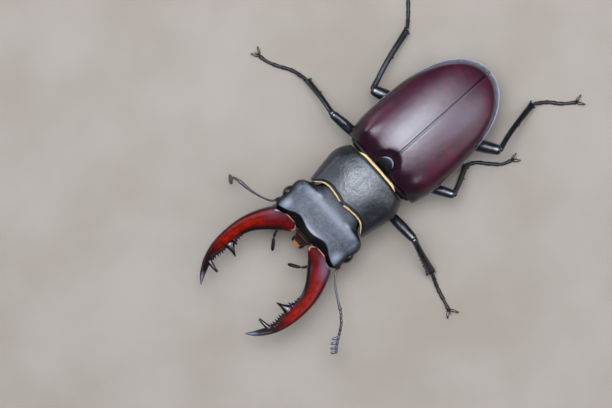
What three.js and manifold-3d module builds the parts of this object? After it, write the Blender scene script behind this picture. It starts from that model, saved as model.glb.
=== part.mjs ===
// A male European stag beetle, life size, standing still with its jaws open.
// Millimetres, +Z up, the head towards -Y, the animal's left towards +X, the floor at z = 0.
import * as THREE from "three";
import Module from "manifold-3d";
import { mergeVertices } from "three/addons/utils/BufferGeometryUtils.js";

const wasm = await Module();
wasm.setup();

const left = 1;
const right = -1;
const jointGap = 0.25; // free space between neighbouring pieces
const finest = 0.06; // radius at which a point ends

// Body coordinates have x = 0 on the midline and y = 0 at the scutellum.
// This is the middle of the whole animal's box in those coordinates.
const boxCentre = { x: -1.3, y: -3.06 };

// ---- trunk ----

const elytra = {
  frontY: -2.2,
  tipY: 26.5,
  halfWidth: 10.25,
  rimZ: 9,
  arch: 5.7, // height of the suture over the rim
  thickness: 0.9,
  taper: 3.4, // a larger number keeps the sides parallel for longer
  archTaper: 3,
  crossPower: 0.85, // roundness of the cross section
  shoulder: { share: 0.25, inset: 0.1 },
  frontDrop: { share: 0.3, depth: 0.22 },
  notch: { depth: 3.0, halfWidth: 2.1 }, // where the scutellum sits
};
const scutellum = { frontY: -2.1, length: 2.6, halfWidth: 1.6, topZ: 13.1, thickness: 0.75 };
const hindbody = {
  clearance: 1.25, // inside the outer face of the elytra
  depth: 4.6,
  bellyPower: 1.8,
  tuckWidth: 7, // half width at which the belly begins to rise
  metathorax: { start: -0.014, end: 0.485, segments: 0 },
  abdomen: { start: 0.497, end: 0.955, segments: 4 },
  segmentStep: 0.3,
};
const prothorax = {
  frontY: -12.2,
  cornerY: -13.9,
  rearY: -2.95,
  widestY: -6.5,
  halfWidth: 8.65,
  rimZ: 8.8,
  arch: 4.9,
  depth: 4.1,
  bellyPower: 1.7,
  frontLobe: { rise: 0.4, width: 4 }, // two shallow lobes beside the middle
  rearBow: 0.3,
};

// ---- head ----

// Each station: y, half width, top z, bottom z.
const neckStations = [
  [-11.0, 4.8, 11.2, 6.4],
  [-12.4, 5.4, 11.7, 6.0],
  [-13.7, 6.0, 11.9, 5.8],
];
const headStations = [
  ...neckStations,
  [-14.2, 6.9, 12.5, 5.8],
  [-15.1, 8.6, 12.7, 5.6],
  [-17.2, 8.75, 12.5, 5.6],
  [-19.2, 8.55, 12.4, 5.6],
  [-20.2, 8.5, 12.3, 5.8],
  [-20.8, 8.45, 11.4, 6.1],
  [-21.7, 8.2, 10.0, 6.6],
];
const head = { rimZ: 9.3, topPower: 0.6, bottomPower: 0.8 };
// The two-lobed front edge: how deep its lobes are and how far its corners reach.
const brow = { startY: -17.2, length: 3, lobe: 0.7, corner: 1.2 };
const eye = { at: [8.75, -18.7, 8.75], radii: [1.25, 1.35, 1.3] };
const labrum = { rearY: -22.15, frontY: -24.0, halfWidth: 1.75, halfHeight: 0.75, z: 8.3, droop: 0.5 };
const mouthBrush = { line: [[0, -22.7, 6.6], [0, -24.9, 6.4]], radii: [0.6, 0.3] };

const mandible = {
  // centre line from inside the head to the tip, on the left side
  line: [
    [5.4, -21.2, 8.5],
    [7.2, -24.9, 8.9],
    [9.05, -28.4, 9.2],
    [9.85, -31.3, 9.2],
    [9.95, -34.2, 9.0],
    [9.85, -36.6, 8.7],
    [9.5, -38.7, 8.3],
    [8.8, -40.7, 7.9],
    [7.85, -42.3, 7.5],
    [6.45, -43.5, 7.1],
  ],
  halfWidth: [2.9, 2.3, 1.75, 1.55, 1.45, 1.25, 1.0, 0.8, 0.5, 0.1],
  halfHeight: [2.1, 1.75, 1.5, 1.35, 1.25, 1.1, 0.9, 0.68, 0.42, 0.1],
};
// Each large tooth: where it leaves the jaw, its tip, and its half width and height at the root.
const largeTeeth = [
  { root: [9.4, -33.7, 9.1], tip: [6.05, -34.75, 8.6], size: [1.25, 0.85] },
  { root: [9.1, -39.1, 8.3], tip: [6.2, -39.5, 8.1], size: [0.7, 0.55] },
];
// Rows of small teeth on the inner edge, placed by their share of the jaw's line.
const smallTeeth = [
  { from: 0.345, to: 0.395, count: 2 },
  { from: 0.51, to: 0.645, count: 4 },
];
const smallTooth = { reach: 0.45, size: [0.76, 0.76] };

const antennae = {
  left: {
    scape: [
      [8.85, -21.1, 7.8],
      [9.4, -22.3, 8.1],
      [11.1, -24.0, 8.6],
      [14.5, -26.0, 9.4],
      [15.5, -26.5, 9.6],
    ],
    funicle: [[15.95, -26.75, 9.6], [17.6, -28.2, 9.3], [18.95, -30.0, 8.8]],
    club: [[19.15, -30.45, 8.7], [20.1, -31.6, 8.4], [21.2, -32.7, 8.0]],
    leaf: [-0.65, -1.2, -0.15],
  },
  right: {
    scape: [
      [-8.85, -21.1, 7.8],
      [-9.4, -22.2, 8.1],
      [-10.9, -23.1, 8.6],
      [-13.7, -24.0, 9.3],
      [-16.9, -24.5, 9.8],
    ],
    funicle: [[-17.2, -24.6, 9.4], [-17.8, -24.9, 7.9], [-18.0, -25.2, 6.2]],
    club: [[-18.0, -25.3, 5.7], [-17.8, -25.6, 4.6], [-17.4, -26.0, 3.5]],
    leaf: [-0.95, 0.2, -0.95],
  },
};
const antennaRadius = { scape: 0.27, funicle: 0.29, club: 0.34, leaf: 0.27 };
const clubLeaves = [0.12, 0.4, 0.68, 0.94]; // shares of the club's length

const palps = {
  maxillary_palp_left: [[2.9, -22.0, 6.8], [4.7, -24.4, 5.7], [4.6, -26.1, 5.8], [1.9, -28.3, 5.4]],
  maxillary_palp_right: [[-2.9, -22.0, 6.8], [-4.4, -24.2, 5.7], [-4.3, -26.0, 5.8], [-2.05, -28.8, 5.4]],
  labial_palp_left: [[0.9, -22.0, 6.9], [1.3, -23.8, 5.7], [1.1, -25.0, 5.4]],
  labial_palp_right: [[-0.9, -22.0, 6.9], [-1.3, -23.8, 5.7], [-1.1, -25.0, 5.4]],
};
const palp = { radius: 0.26, swelling: 0.35 };

// ---- legs ----

const coxae = {
  foreleg: { at: [3.6, -6.9, 4.5], radii: [2.0, 1.7, 1.8] },
  midleg: { at: [3.7, -0.6, 4.3], radii: [1.9, 1.6, 1.7] },
  hindleg: { at: [3.4, 11.2, 4.3], radii: [2.6, 1.6, 1.6] },
};
const femur = { radius: 1.12, endShare: 0.72, flatness: 0.9 };
const tibia = { baseRadius: 0.55, endRadius: 0.82, flatness: 0.85 };
// Shares of the tibia's length where its outer spines stand.
const spineRows = { foreleg: [0.42, 0.58, 0.73, 0.88], midleg: [0.5, 0.9], hindleg: [0.5, 0.9] };
const spine = { radius: 0.4, reach: 0.45, lean: 0.65, innerShare: 0.93 };
const tarsus = { radius: 0.36, segments: 5, pressed: 0.08, waist: 0.78, flare: 0.3 };
const claw = { radius: 0.26, rootAhead: 0.45, bow: 0.35, archZ: 0.62, tipZ: 0.14 };

// Knee and ankle, then the foot's path on the floor and the tips of its two claws.
const legs = {
  foreleg_left: {
    knee: [14.6, -6.5, 8.8],
    ankle: [22.1, -8.1, 1.6],
    foot: [[25.3, -9.3], [28.0, -10.0], [29.9, -10.5]],
    claws: [[31.7, -9.2], [31.1, -11.9]],
  },
  foreleg_right: {
    knee: [-7.3, -17.6, 3.9],
    ankle: [-8.9, -27.8, 1.5],
    foot: [[-9.5, -30.6], [-9.8, -33.4], [-9.9, -35.6]],
    claws: [[-9.1, -37.4], [-10.8, -37.3]],
  },
  midleg_left: {
    knee: [13.3, 5.1, 8.3],
    ankle: [10.8, 10.9, 1.1],
    foot: [[11.7, 12.9], [13.6, 14.7], [15.4, 16.6], [16.1, 18.5]],
    claws: [[15.6, 20.2], [17.3, 20.0]],
  },
  midleg_right: {
    knee: [-14.2, -2.1, 8.2],
    ankle: [-22.7, -1.2, 1.6],
    foot: [[-26.4, -2.2], [-28.8, -3.3], [-31.2, -4.5], [-32.6, -5.2]],
    claws: [[-34.3, -4.2], [-34.1, -6.3]],
  },
  hindleg_left: {
    knee: [12.8, 17.6, 8.8],
    ankle: [10.5, 29.0, 1.2],
    foot: [[12.3, 31.6], [14.2, 33.3], [16.0, 35.7]],
    claws: [[15.4, 37.4], [17.5, 36.9]],
  },
  hindleg_right: {
    knee: [-12.6, 7.0, 6.2],
    ankle: [-17.0, 20.2, 1.5],
    foot: [[-19.0, 22.3], [-21.0, 24.1], [-24.6, 27.4]],
    claws: [[-25.3, 29.2], [-26.5, 27.9]],
  },
};

const finishes = {
  elytron: { color: 0x3a1418, roughness: 0.32, metalness: 0 },
  shell: { color: 0x1c1c20, roughness: 0.55, metalness: 0 },
  underside: { color: 0x17110f, roughness: 0.45, metalness: 0 },
  mandible: { color: 0x5e120b, roughness: 0.25, metalness: 0 },
  eye: { color: 0x120c0a, roughness: 0.15, metalness: 0 },
  limb: { color: 0x0c0c0e, roughness: 0.3, metalness: 0 },
  claw: { color: 0x1a100c, roughness: 0.3, metalness: 0 },
  hair: { color: 0xc8751c, roughness: 0.7, metalness: 0 },
};

// ---- shared geometry ----

const point = (p) => new THREE.Vector3(...p);
const clamp = THREE.MathUtils.clamp;
const between = (a, b, t) => a + (b - a) * t;
const betweenPoints = (a, b, t) => a.map((value, k) => between(value, b[k], t));
const upwards = new THREE.Vector3(0, 0, 1);

// Value of an evenly spaced row of numbers at t, from 0 to 1.
function along(row, t) {
  const place = clamp(t, 0, 1) * (row.length - 1);
  const i = Math.min(Math.floor(place), row.length - 2);
  return between(row[i], row[i + 1], place - i);
}

const smoothPath = (line) => new THREE.CatmullRomCurve3(line.map(point), false, "centripetal");

function signedVolume(points, triangles) {
  let sum = 0;
  for (let i = 0; i < triangles.length; i += 3) {
    const [a, b, c] = [0, 1, 2].map((k) => points[triangles[i + k]]);
    sum += a.dot(new THREE.Vector3().crossVectors(b, c)) / 6;
  }
  return sum;
}

// A geometry from points and triangles, turned so that its faces point outwards.
function closedGeometry(points, triangles) {
  const inward = signedVolume(points, triangles) < 0;
  const geometry = new THREE.BufferGeometry().setFromPoints(points);
  return geometry.setIndex(inward ? [...triangles].reverse() : triangles);
}

// A closed solid through loops of equally many points, each end closed by a fan.
function loft(loops) {
  const sides = loops[0].length;
  const points = loops.flat();
  const triangles = [];
  for (let r = 0; r + 1 < loops.length; r++)
    for (let i = 0; i < sides; i++) {
      const a = r * sides + i;
      const b = r * sides + ((i + 1) % sides);
      triangles.push(a, b, b + sides, a, b + sides, a + sides);
    }
  for (const end of [0, loops.length - 1]) {
    const sum = loops[end].reduce((total, p) => total.add(p), new THREE.Vector3());
    const centre = points.push(sum.divideScalar(sides)) - 1;
    for (let i = 0; i < sides; i++) {
      const a = end * sides + i;
      const b = end * sides + ((i + 1) % sides);
      triangles.push(centre, end ? a : b, end ? b : a);
    }
  }
  return closedGeometry(points, triangles);
}

// A closed plate between an outer and an inner grid of as many rows and columns.
function plate(outer, inner) {
  const rows = outer.length;
  const columns = outer[0].length;
  const points = [...outer.flat(), ...inner.flat()];
  const at = (layer, row, column) => (layer * rows + row) * columns + column;
  const triangles = [];
  const quad = (a, b, c, d) => triangles.push(a, b, c, a, c, d);
  for (let r = 0; r + 1 < rows; r++)
    for (let c = 0; c + 1 < columns; c++) {
      quad(at(0, r, c), at(0, r, c + 1), at(0, r + 1, c + 1), at(0, r + 1, c));
      quad(at(1, r, c), at(1, r + 1, c), at(1, r + 1, c + 1), at(1, r, c + 1));
    }
  for (let r = 0; r + 1 < rows; r++)
    for (const c of [0, columns - 1]) {
      const edge = [at(0, r, c), at(0, r + 1, c), at(1, r + 1, c), at(1, r, c)];
      quad(...(c ? edge.reverse() : edge));
    }
  for (let c = 0; c + 1 < columns; c++)
    for (const r of [0, rows - 1]) {
      const edge = [at(0, r, c + 1), at(0, r, c), at(1, r, c), at(1, r, c + 1)];
      quad(...(r ? edge.reverse() : edge));
    }
  return closedGeometry(points, triangles);
}

// An oval-sectioned solid along a smooth line; width and height give half sizes at t.
function limb(line, { width, height = width, rings, sides }) {
  const path = smoothPath(line);
  const loops = [];
  for (let r = 0; r <= rings; r++) {
    const t = (1 - Math.cos((Math.PI * r) / rings)) / 2; // rings crowd towards the ends
    const ahead = path.getTangent(t);
    const steep = Math.abs(ahead.z) > 0.9;
    const across = new THREE.Vector3(0, steep ? 1 : 0, steep ? 0 : 1).cross(ahead).negate().normalize();
    const upright = new THREE.Vector3().crossVectors(across, ahead);
    const loop = [];
    for (let i = 0; i < sides; i++) {
      const angle = (2 * Math.PI * i) / sides;
      const p = path.getPoint(t);
      p.addScaledVector(across, Math.cos(angle) * width(t));
      p.addScaledVector(upright, Math.sin(angle) * height(t));
      loop.push(p);
    }
    loops.push(loop);
  }
  return loft(loops);
}

// 1 along most of a limb, falling quickly towards both of its ends.
const blunt = (t) => Math.max(0.35, Math.sqrt(1 - Math.abs(2 * t - 1) ** 8));

function ellipsoid([x, y, z], radii, grow, [around, down]) {
  const [rx, ry, rz] = radii.map((r) => r + grow);
  return new THREE.SphereGeometry(1, around, down).scale(rx, ry, rz).translate(x, y, z);
}

function solidOf(geometry) {
  const bare = geometry.clone();
  bare.deleteAttribute("normal");
  bare.deleteAttribute("uv");
  const merged = mergeVertices(bare, 1e-4);
  const mesh = new wasm.Mesh({
    numProp: 3,
    vertProperties: merged.attributes.position.array,
    triVerts: new Uint32Array(merged.index.array),
  });
  return new wasm.Manifold(mesh);
}

function geometryOf(solid) {
  const { vertProperties, triVerts } = solid.getMesh();
  const positions = new THREE.BufferAttribute(new Float32Array(vertProperties), 3);
  return new THREE.BufferGeometry().setAttribute("position", positions).setIndex([...triVerts]);
}

const joined = (geometries) => geometryOf(geometries.map(solidOf).reduce((a, b) => a.add(b)));

function cut(geometry, tools) {
  const solids = [geometry, ...tools].map(solidOf);
  return geometryOf(solids.reduce((a, b) => a.subtract(b)));
}

// ---- trunk pieces ----

// Half width of the elytra at t, from 0 at their front to 1 at their tip.
function elytraHalfWidth(t) {
  const { share, inset } = elytra.shoulder;
  const taper = Math.sqrt(Math.max(0, 1 - Math.max(0, t) ** elytra.taper));
  return elytra.halfWidth * taper * (1 - inset * Math.max(0, 1 - t / share) ** 2);
}

function elytraArch(t) {
  const { share, depth } = elytra.frontDrop;
  const fall = Math.max(0, 1 - Math.max(0, t) ** elytra.archTaper) ** (2 / 3);
  return elytra.arch * fall * (1 - depth * Math.max(0, 1 - t / share) ** 2);
}

function elytraY(t, x) {
  const { depth, halfWidth } = elytra.notch;
  const front = elytra.frontY + depth * Math.sqrt(Math.max(0, 1 - (x / halfWidth) ** 2));
  return between(front, elytra.tipY, t);
}

// Grid of points over one elytron, lying inset below its outer face.
function elytronGrid(side, inset) {
  const rows = 11;
  const columns = 8;
  const lastShare = 0.998; // a hair short of the tip, where the outline would close
  const grid = [];
  for (let r = 0; r <= rows; r++) {
    const t = lastShare * Math.sin((Math.PI * r) / rows / 2);
    const halfWidth = elytraHalfWidth(t);
    const depth = Math.min(inset, 0.3 * halfWidth);
    const arch = Math.max(finest, elytraArch(t) - depth);
    const row = [];
    for (let c = 0; c <= columns; c++) {
      const angle = ((c / columns) ** 1.35 * Math.PI) / 2; // columns crowd at the suture
      const x = jointGap / 2 + (halfWidth - depth - jointGap / 2) * Math.sin(angle);
      const z = elytra.rimZ + arch * Math.max(0, Math.cos(angle)) ** elytra.crossPower;
      row.push(point([side * x, elytraY(t, x), z]));
    }
    grid.push(row);
  }
  return grid;
}

const elytronGeometry = (side) => plate(elytronGrid(side, 0), elytronGrid(side, elytra.thickness));

// A length of the hind body under the elytra, stepped where it has segments.
function hindbodyGeometry({ start, end, segments }) {
  const sides = 16;
  const rings = segments ? segments * 2 : 4;
  const loops = [];
  for (let r = 0; r <= rings; r++) {
    const t = between(start, end, r / rings);
    const step = segments && r % 2 === 0 ? hindbody.segmentStep : 0;
    const halfWidth = elytraHalfWidth(t) - hindbody.clearance;
    const arch = Math.max(0.4, elytraArch(t) - hindbody.clearance);
    const tuck = Math.min(1, (halfWidth / hindbody.tuckWidth) ** 0.9); // the belly rises to the tip
    const depth = (hindbody.depth - step) * tuck;
    const loop = [];
    for (let i = 0; i < sides; i++) {
      const angle = (2 * Math.PI * i) / sides;
      const up = Math.sin(angle);
      const x = halfWidth * Math.cos(angle);
      const z = up > 0 ? arch * up ** elytra.crossPower : -depth * (-up) ** hindbody.bellyPower;
      const y = up > 0 ? elytraY(t, x) : between(elytra.frontY, elytra.tipY, t);
      loop.push(point([x, y, elytra.rimZ + z]));
    }
    loops.push(loop);
  }
  return loft(loops);
}

function scutellumGeometry() {
  const { frontY, length, halfWidth, topZ, thickness } = scutellum;
  const outline = new THREE.Shape();
  outline.moveTo(-halfWidth, 0);
  outline.absellipse(0, 0, halfWidth, length, 0, Math.PI, false, 0);
  const options = { depth: thickness, bevelEnabled: false, curveSegments: 8 };
  return new THREE.ExtrudeGeometry(outline, options).translate(0, frontY, topZ - thickness);
}

// The front margin: two shallow lobes in the middle and corners that reach forwards.
function prothoraxFront(x) {
  const { rise, width } = prothorax.frontLobe;
  const far = Math.abs(x);
  const lobe = rise * Math.sin((Math.PI * Math.min(far, width)) / width / 2) ** 2;
  const reach = prothorax.frontY - prothorax.cornerY;
  return prothorax.frontY + lobe - reach * (Math.max(0, far - width) / 3.6) ** 2.2;
}

function prothoraxHalfWidth(y) {
  const off = y - prothorax.widestY;
  const front = 0.0192 * off ** 2;
  const rear = 0.2 * prothorax.halfWidth * (off / (prothorax.rearY - prothorax.widestY)) ** 4;
  return prothorax.halfWidth - (off < 0 ? front : rear);
}

function prothoraxGeometry() {
  const sides = 20;
  const rings = 7;
  const loops = [];
  for (let r = 0; r <= rings; r++) {
    const t = r / rings;
    const halfWidth = prothoraxHalfWidth(between(prothorax.cornerY, prothorax.rearY, t));
    const arch = prothorax.arch * (1 - 0.2 * (1 - t) ** 2 - 0.08 * t ** 3);
    const loop = [];
    for (let i = 0; i < sides; i++) {
      const angle = (2 * Math.PI * i) / sides;
      const up = Math.sin(angle);
      const x = halfWidth * Math.cos(angle);
      const z = up > 0 ? arch * up ** 0.8 : -prothorax.depth * (-up) ** prothorax.bellyPower;
      const rear = prothorax.rearY - prothorax.rearBow * (x / 5) ** 2;
      loop.push(point([x, between(prothoraxFront(x), rear, t), prothorax.rimZ + z]));
    }
    loops.push(loop);
  }
  const neckSocket = loft(headLoops(neckStations, jointGap));
  return cut(loft(loops), [neckSocket]);
}

// ---- head pieces ----

// How far back from its stations the front edge of the head lies, across its width.
function browSetback(x, y) {
  const forward = clamp((brow.startY - y) / brow.length, 0, 1);
  const far = Math.abs(x);
  const lobe = brow.lobe * Math.sin((Math.PI * Math.min(far, 8)) / 8) ** 2;
  return forward * (lobe - brow.corner * (far / 8.5) ** 4);
}

// Loops through the given stations of the head, standing out from it by grow.
function headLoops(stations, grow = 0) {
  const sides = 18;
  const last = stations.length - 1;
  return stations.map(([y, halfWidth, top, bottom], n) => {
    const endShift = n === 0 ? grow : n === last ? -grow : 0;
    const loop = [];
    for (let i = 0; i < sides; i++) {
      const angle = (2 * Math.PI * i) / sides;
      const up = Math.sin(angle);
      const x = (halfWidth + grow) * Math.cos(angle);
      const above = (top + grow - head.rimZ) * Math.max(0, up) ** head.topPower;
      const below = (head.rimZ - bottom + grow) * Math.max(0, -up) ** head.bottomPower;
      const setback = browSetback(x, y) * Math.max(0, up);
      loop.push(point([x, y + endShift + setback, head.rimZ + above - below]));
    }
    return loop;
  });
}

const headGeometry = () => loft(headLoops(headStations));

const eyeGeometry = (side, grow = 0) => {
  const [x, y, z] = eye.at;
  return ellipsoid([side * x, y, z], eye.radii, grow, [10, 7]);
};

function labrumGeometry() {
  const { rearY, frontY, halfWidth, halfHeight, z, droop } = labrum;
  const width = (t) => halfWidth * (1 - 0.45 * t * t) * blunt(t);
  const height = (t) => halfHeight * (1 - 0.4 * t) * blunt(t);
  return limb([[0, rearY, z], [0, frontY, z - droop]], { width, height, rings: 4, sides: 8 });
}

function mouthBrushGeometry() {
  const width = (t) => between(...mouthBrush.radii, t) * blunt(t);
  return limb(mouthBrush.line, { width, rings: 3, sides: 7 });
}

function toothGeometry(root, tip, [rootWidth, rootHeight], sides) {
  const taper = (size) => (t) => Math.max(finest, size * (1 - t) ** 0.9);
  const middle = betweenPoints(root, tip, 0.5);
  middle[2] += 0.12; // a slight upward bow
  const shape = { width: taper(rootWidth), height: taper(rootHeight), rings: 3, sides };
  return limb([root, middle, tip], shape);
}

function smallTeethGeometries() {
  const path = smoothPath(mandible.line);
  return smallTeeth.flatMap(({ from, to, count }) =>
    Array.from({ length: count }, (_, i) => {
      const t = between(from, to, i / (count - 1));
      const root = path.getPoint(t).toArray();
      const reach = along(mandible.halfWidth, t) + smallTooth.reach;
      const tip = [root[0] - reach, root[1] - 0.1, root[2]];
      return toothGeometry(root, tip, smallTooth.size, 4);
    }),
  );
}

function mandibleGeometry(side) {
  const width = (t) => along(mandible.halfWidth, t);
  const height = (t) => along(mandible.halfHeight, t);
  const shaft = limb(mandible.line, { width, height, rings: 12, sides: 10 });
  const large = largeTeeth.map(({ root, tip, size }) => toothGeometry(root, tip, size, 7));
  const whole = joined([shaft, ...large, ...smallTeethGeometries()]);
  const leftJaw = cut(whole, [loft(headLoops(headStations, jointGap))]);
  return side === left ? leftJaw : geometryOf(solidOf(leftJaw).mirror([1, 0, 0]));
}

function scapeGeometry({ scape }) {
  const width = (t) => antennaRadius.scape * (0.95 + 0.35 * t ** 6);
  return limb(scape, { width, rings: 5, sides: 6 });
}

function funicleGeometry({ funicle }) {
  const width = (t) => antennaRadius.funicle * (0.92 + 0.14 * Math.cos(6 * Math.PI * t));
  return limb(funicle, { width, rings: 6, sides: 6 });
}

function clubGeometry({ club, leaf }) {
  const stem = limb(club, { width: (t) => antennaRadius.club * blunt(t), rings: 4, sides: 6 });
  const path = smoothPath(club);
  const leaves = clubLeaves.map((share, n) => {
    const root = path.getPointAt(share);
    const tip = root.clone().addScaledVector(point(leaf), 1 - 0.08 * n);
    const width = (t) => antennaRadius.leaf * blunt(t);
    return limb([root.toArray(), tip.toArray()], { width, rings: 2, sides: 5 });
  });
  return joined([stem, ...leaves]);
}

function palpGeometry(line) {
  const swell = (t) => 1 + palp.swelling * Math.sin(Math.PI * clamp(2.2 * t - 1.15, 0, 1));
  return limb(line, { width: (t) => palp.radius * swell(t) * blunt(t), rings: 5, sides: 6 });
}

// ---- leg pieces ----

function hip(kind, side) {
  const [x, y, z] = coxae[kind].at;
  return [side * x, y, z];
}

const coxaGeometry = (kind, side, grow = 0) =>
  ellipsoid(hip(kind, side), coxae[kind].radii, grow, [8, 6]);

const coxaSockets = (kind) => [left, right].map((side) => coxaGeometry(kind, side, jointGap));

// Distance from the coxa's centre to its surface on the way to the knee.
function coxaReach(kind, side, knee) {
  const way = point(knee).sub(point(hip(kind, side))).normalize();
  const [rx, ry, rz] = coxae[kind].radii;
  return 1 / Math.hypot(way.x / rx, way.y / ry, way.z / rz);
}

// The straight line between two points, drawn in at both of its ends.
function drawnIn(from, to, fromStart, fromEnd) {
  const [a, b] = [point(from), point(to)];
  const way = b.clone().sub(a).normalize();
  return [a.addScaledVector(way, fromStart).toArray(), b.addScaledVector(way, -fromEnd).toArray()];
}

function femurGeometry({ knee }, kind, side) {
  const line = drawnIn(hip(kind, side), knee, coxaReach(kind, side, knee) + 0.35, 0.2);
  const bulge = (t) => between(femur.endShare, 1, Math.sin(Math.PI * t));
  const width = (t) => femur.radius * bulge(t) * blunt(t);
  return limb(line, { width, height: (t) => femur.flatness * width(t), rings: 5, sides: 8 });
}

// A tibia with its outer spines and one spur on the inner side of its end.
function tibiaGeometry({ knee, ankle }, kind) {
  const line = drawnIn(knee, ankle, 0.55, 0.1);
  const width = (t) => between(tibia.baseRadius, tibia.endRadius, t) * blunt(t);
  const height = (t) => tibia.flatness * width(t);
  const shaft = limb(line, { width, height, rings: 4, sides: 6 });
  const [start, end] = line.map(point);
  const ahead = end.clone().sub(start).normalize();
  const across = new THREE.Vector3().crossVectors(ahead, upwards).normalize();
  const outer = Math.sign(kind === "foreleg" ? -across.y : across.y);
  const places = spineRows[kind].map((share) => [share, outer]);
  places.push([spine.innerShare, -outer]);
  const spines = places.map(([share, way]) => {
    const root = start.clone().lerp(end, share);
    const tip = root.clone().addScaledVector(ahead, spine.lean);
    tip.addScaledVector(across, way * (width(share) + spine.reach));
    const taper = (t) => Math.max(finest, spine.radius * (1 - t));
    return limb([root.toArray(), tip.toArray()], { width: taper, rings: 1, sides: 4 });
  });
  return joined([shaft, ...spines]);
}

const belowFloor = new THREE.BoxGeometry(200, 200, 10).translate(0, 0, -5);

// The foot's segments, each swollen between its ends, with small flats on the floor.
function tarsusGeometry({ ankle, foot }) {
  const restingZ = tarsus.radius * (tarsus.waist + tarsus.flare) - tarsus.pressed;
  const line = [ankle, ...foot.map(([x, y]) => [x, y, restingZ])];
  line[0] = smoothPath(line).getPointAt(0.06).toArray();
  const width = (t) => {
    const ringShare = Math.acos(clamp(1 - 2 * t, -1, 1)) / Math.PI;
    const swelling = Math.sin(Math.PI * tarsus.segments * ringShare) ** 2;
    return tarsus.radius * (tarsus.waist + tarsus.flare * swelling);
  };
  return cut(limb(line, { width, rings: 2 * tarsus.segments, sides: 8 }), [belowFloor]);
}

function clawsGeometry({ foot, claws }) {
  const [wrist, end] = foot.slice(-2).map(([x, y]) => new THREE.Vector2(x, y));
  const ahead = end.clone().sub(wrist).normalize();
  const root = end.clone().addScaledVector(ahead, claw.rootAhead);
  const hooks = claws.map(([x, y]) => {
    const bend = root.clone().lerp(new THREE.Vector2(x, y), 0.6).addScaledVector(ahead, claw.bow);
    const line = [[root.x, root.y, tarsus.radius], [bend.x, bend.y, claw.archZ], [x, y, claw.tipZ]];
    return limb(line, { width: (t) => claw.radius * (1 - 0.77 * t), rings: 3, sides: 4 });
  });
  return cut(joined(hooks), [belowFloor]);
}

// ---- assembly ----

const beetle = new THREE.Group();
beetle.position.set(-boxCentre.x, -boxCentre.y, 0);

function add(name, geometry, finish) {
  geometry.computeVertexNormals();
  const mesh = new THREE.Mesh(geometry, new THREE.MeshStandardMaterial(finishes[finish]));
  mesh.name = name;
  beetle.add(mesh);
}

const metathorax = hindbodyGeometry(hindbody.metathorax);
const abdomen = hindbodyGeometry(hindbody.abdomen);
add("prothorax", cut(prothoraxGeometry(), coxaSockets("foreleg")), "shell");
add("scutellum", scutellumGeometry(), "shell");
add("metathorax", cut(metathorax, [...coxaSockets("midleg"), ...coxaSockets("hindleg")]), "underside");
add("abdomen", cut(abdomen, coxaSockets("hindleg")), "underside");
add("head", cut(headGeometry(), [left, right].map((side) => eyeGeometry(side, jointGap))), "shell");
add("labrum", labrumGeometry(), "shell");
add("mouth_brush", mouthBrushGeometry(), "hair");

for (const [sideName, side] of Object.entries({ left, right })) {
  add(`elytron_${sideName}`, elytronGeometry(side), "elytron");
  add(`eye_${sideName}`, eyeGeometry(side), "eye");
  add(`mandible_${sideName}`, mandibleGeometry(side), "mandible");
  add(`antenna_${sideName}_scape`, scapeGeometry(antennae[sideName]), "limb");
  add(`antenna_${sideName}_funicle`, funicleGeometry(antennae[sideName]), "limb");
  add(`antenna_${sideName}_club`, clubGeometry(antennae[sideName]), "limb");
}

for (const [name, line] of Object.entries(palps)) add(name, palpGeometry(line), "limb");

for (const [name, leg] of Object.entries(legs)) {
  const [kind, sideName] = name.split("_");
  const side = { left, right }[sideName];
  add(`${name}_coxa`, coxaGeometry(kind, side), "limb");
  add(`${name}_femur`, femurGeometry(leg, kind, side), "limb");
  add(`${name}_tibia`, tibiaGeometry(leg, kind), "limb");
  add(`${name}_tarsus`, tarsusGeometry(leg), "limb");
  add(`${name}_claws`, clawsGeometry(leg), "claw");
}

export default beetle;
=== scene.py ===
import bpy
import numpy as np
from mathutils import Matrix, Vector


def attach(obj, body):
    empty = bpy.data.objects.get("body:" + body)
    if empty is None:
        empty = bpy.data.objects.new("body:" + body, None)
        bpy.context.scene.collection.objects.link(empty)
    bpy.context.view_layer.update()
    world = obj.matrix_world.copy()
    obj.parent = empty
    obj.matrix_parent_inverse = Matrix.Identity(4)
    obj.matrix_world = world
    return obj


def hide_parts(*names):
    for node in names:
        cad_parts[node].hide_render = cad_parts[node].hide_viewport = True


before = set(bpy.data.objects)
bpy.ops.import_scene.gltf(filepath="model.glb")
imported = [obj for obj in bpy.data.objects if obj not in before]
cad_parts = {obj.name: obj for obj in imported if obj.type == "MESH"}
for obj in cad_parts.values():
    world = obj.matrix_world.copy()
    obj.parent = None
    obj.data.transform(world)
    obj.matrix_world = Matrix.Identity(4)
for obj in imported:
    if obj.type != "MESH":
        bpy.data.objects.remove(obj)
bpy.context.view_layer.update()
print("stage: frame loaded")

# everything below is worked out in body coordinates: millimetres, x = 0 on the midline,
# y = 0 at the scutellum with the head towards -y, z = 0 at the floor
body = {
    "boxCentre": (-1.3, -3.06, 0.0),   # where the middle of the frame lies in body coordinates
    "millimetre": 0.001,
    "seed": 7,
}
rng = np.random.default_rng(body["seed"])
left, right = 1, -1
sideNames = {left: "left", right: "right"}


def toFrame(points):
    # body coordinates in millimetres to the frame's metres
    return (np.asarray(points, float) - np.array(body["boxCentre"])) * body["millimetre"]


def mix(a, b, t):
    return a + (b - a) * t


def smoothStep(low, high, value):
    t = np.clip((value - low) / (high - low), 0, 1)
    return t * t * (3 - 2 * t)


def hump(value, centre, width):
    return np.exp(-((value - centre) / width) ** 2)


def ridge(row, value):
    # a soft ridge given by its height, place and half width
    height, at, wide = row
    return height * hump(value, at, wide)


def bosses(rows, x, y):
    # soft rises and hollows of a face, summed: height, place in x and y, half width in x and y
    return sum(height * hump(x, atX, wideX) * hump(y, atY, wideY) for height, atX, atY, wideX, wideY in rows)


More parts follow.
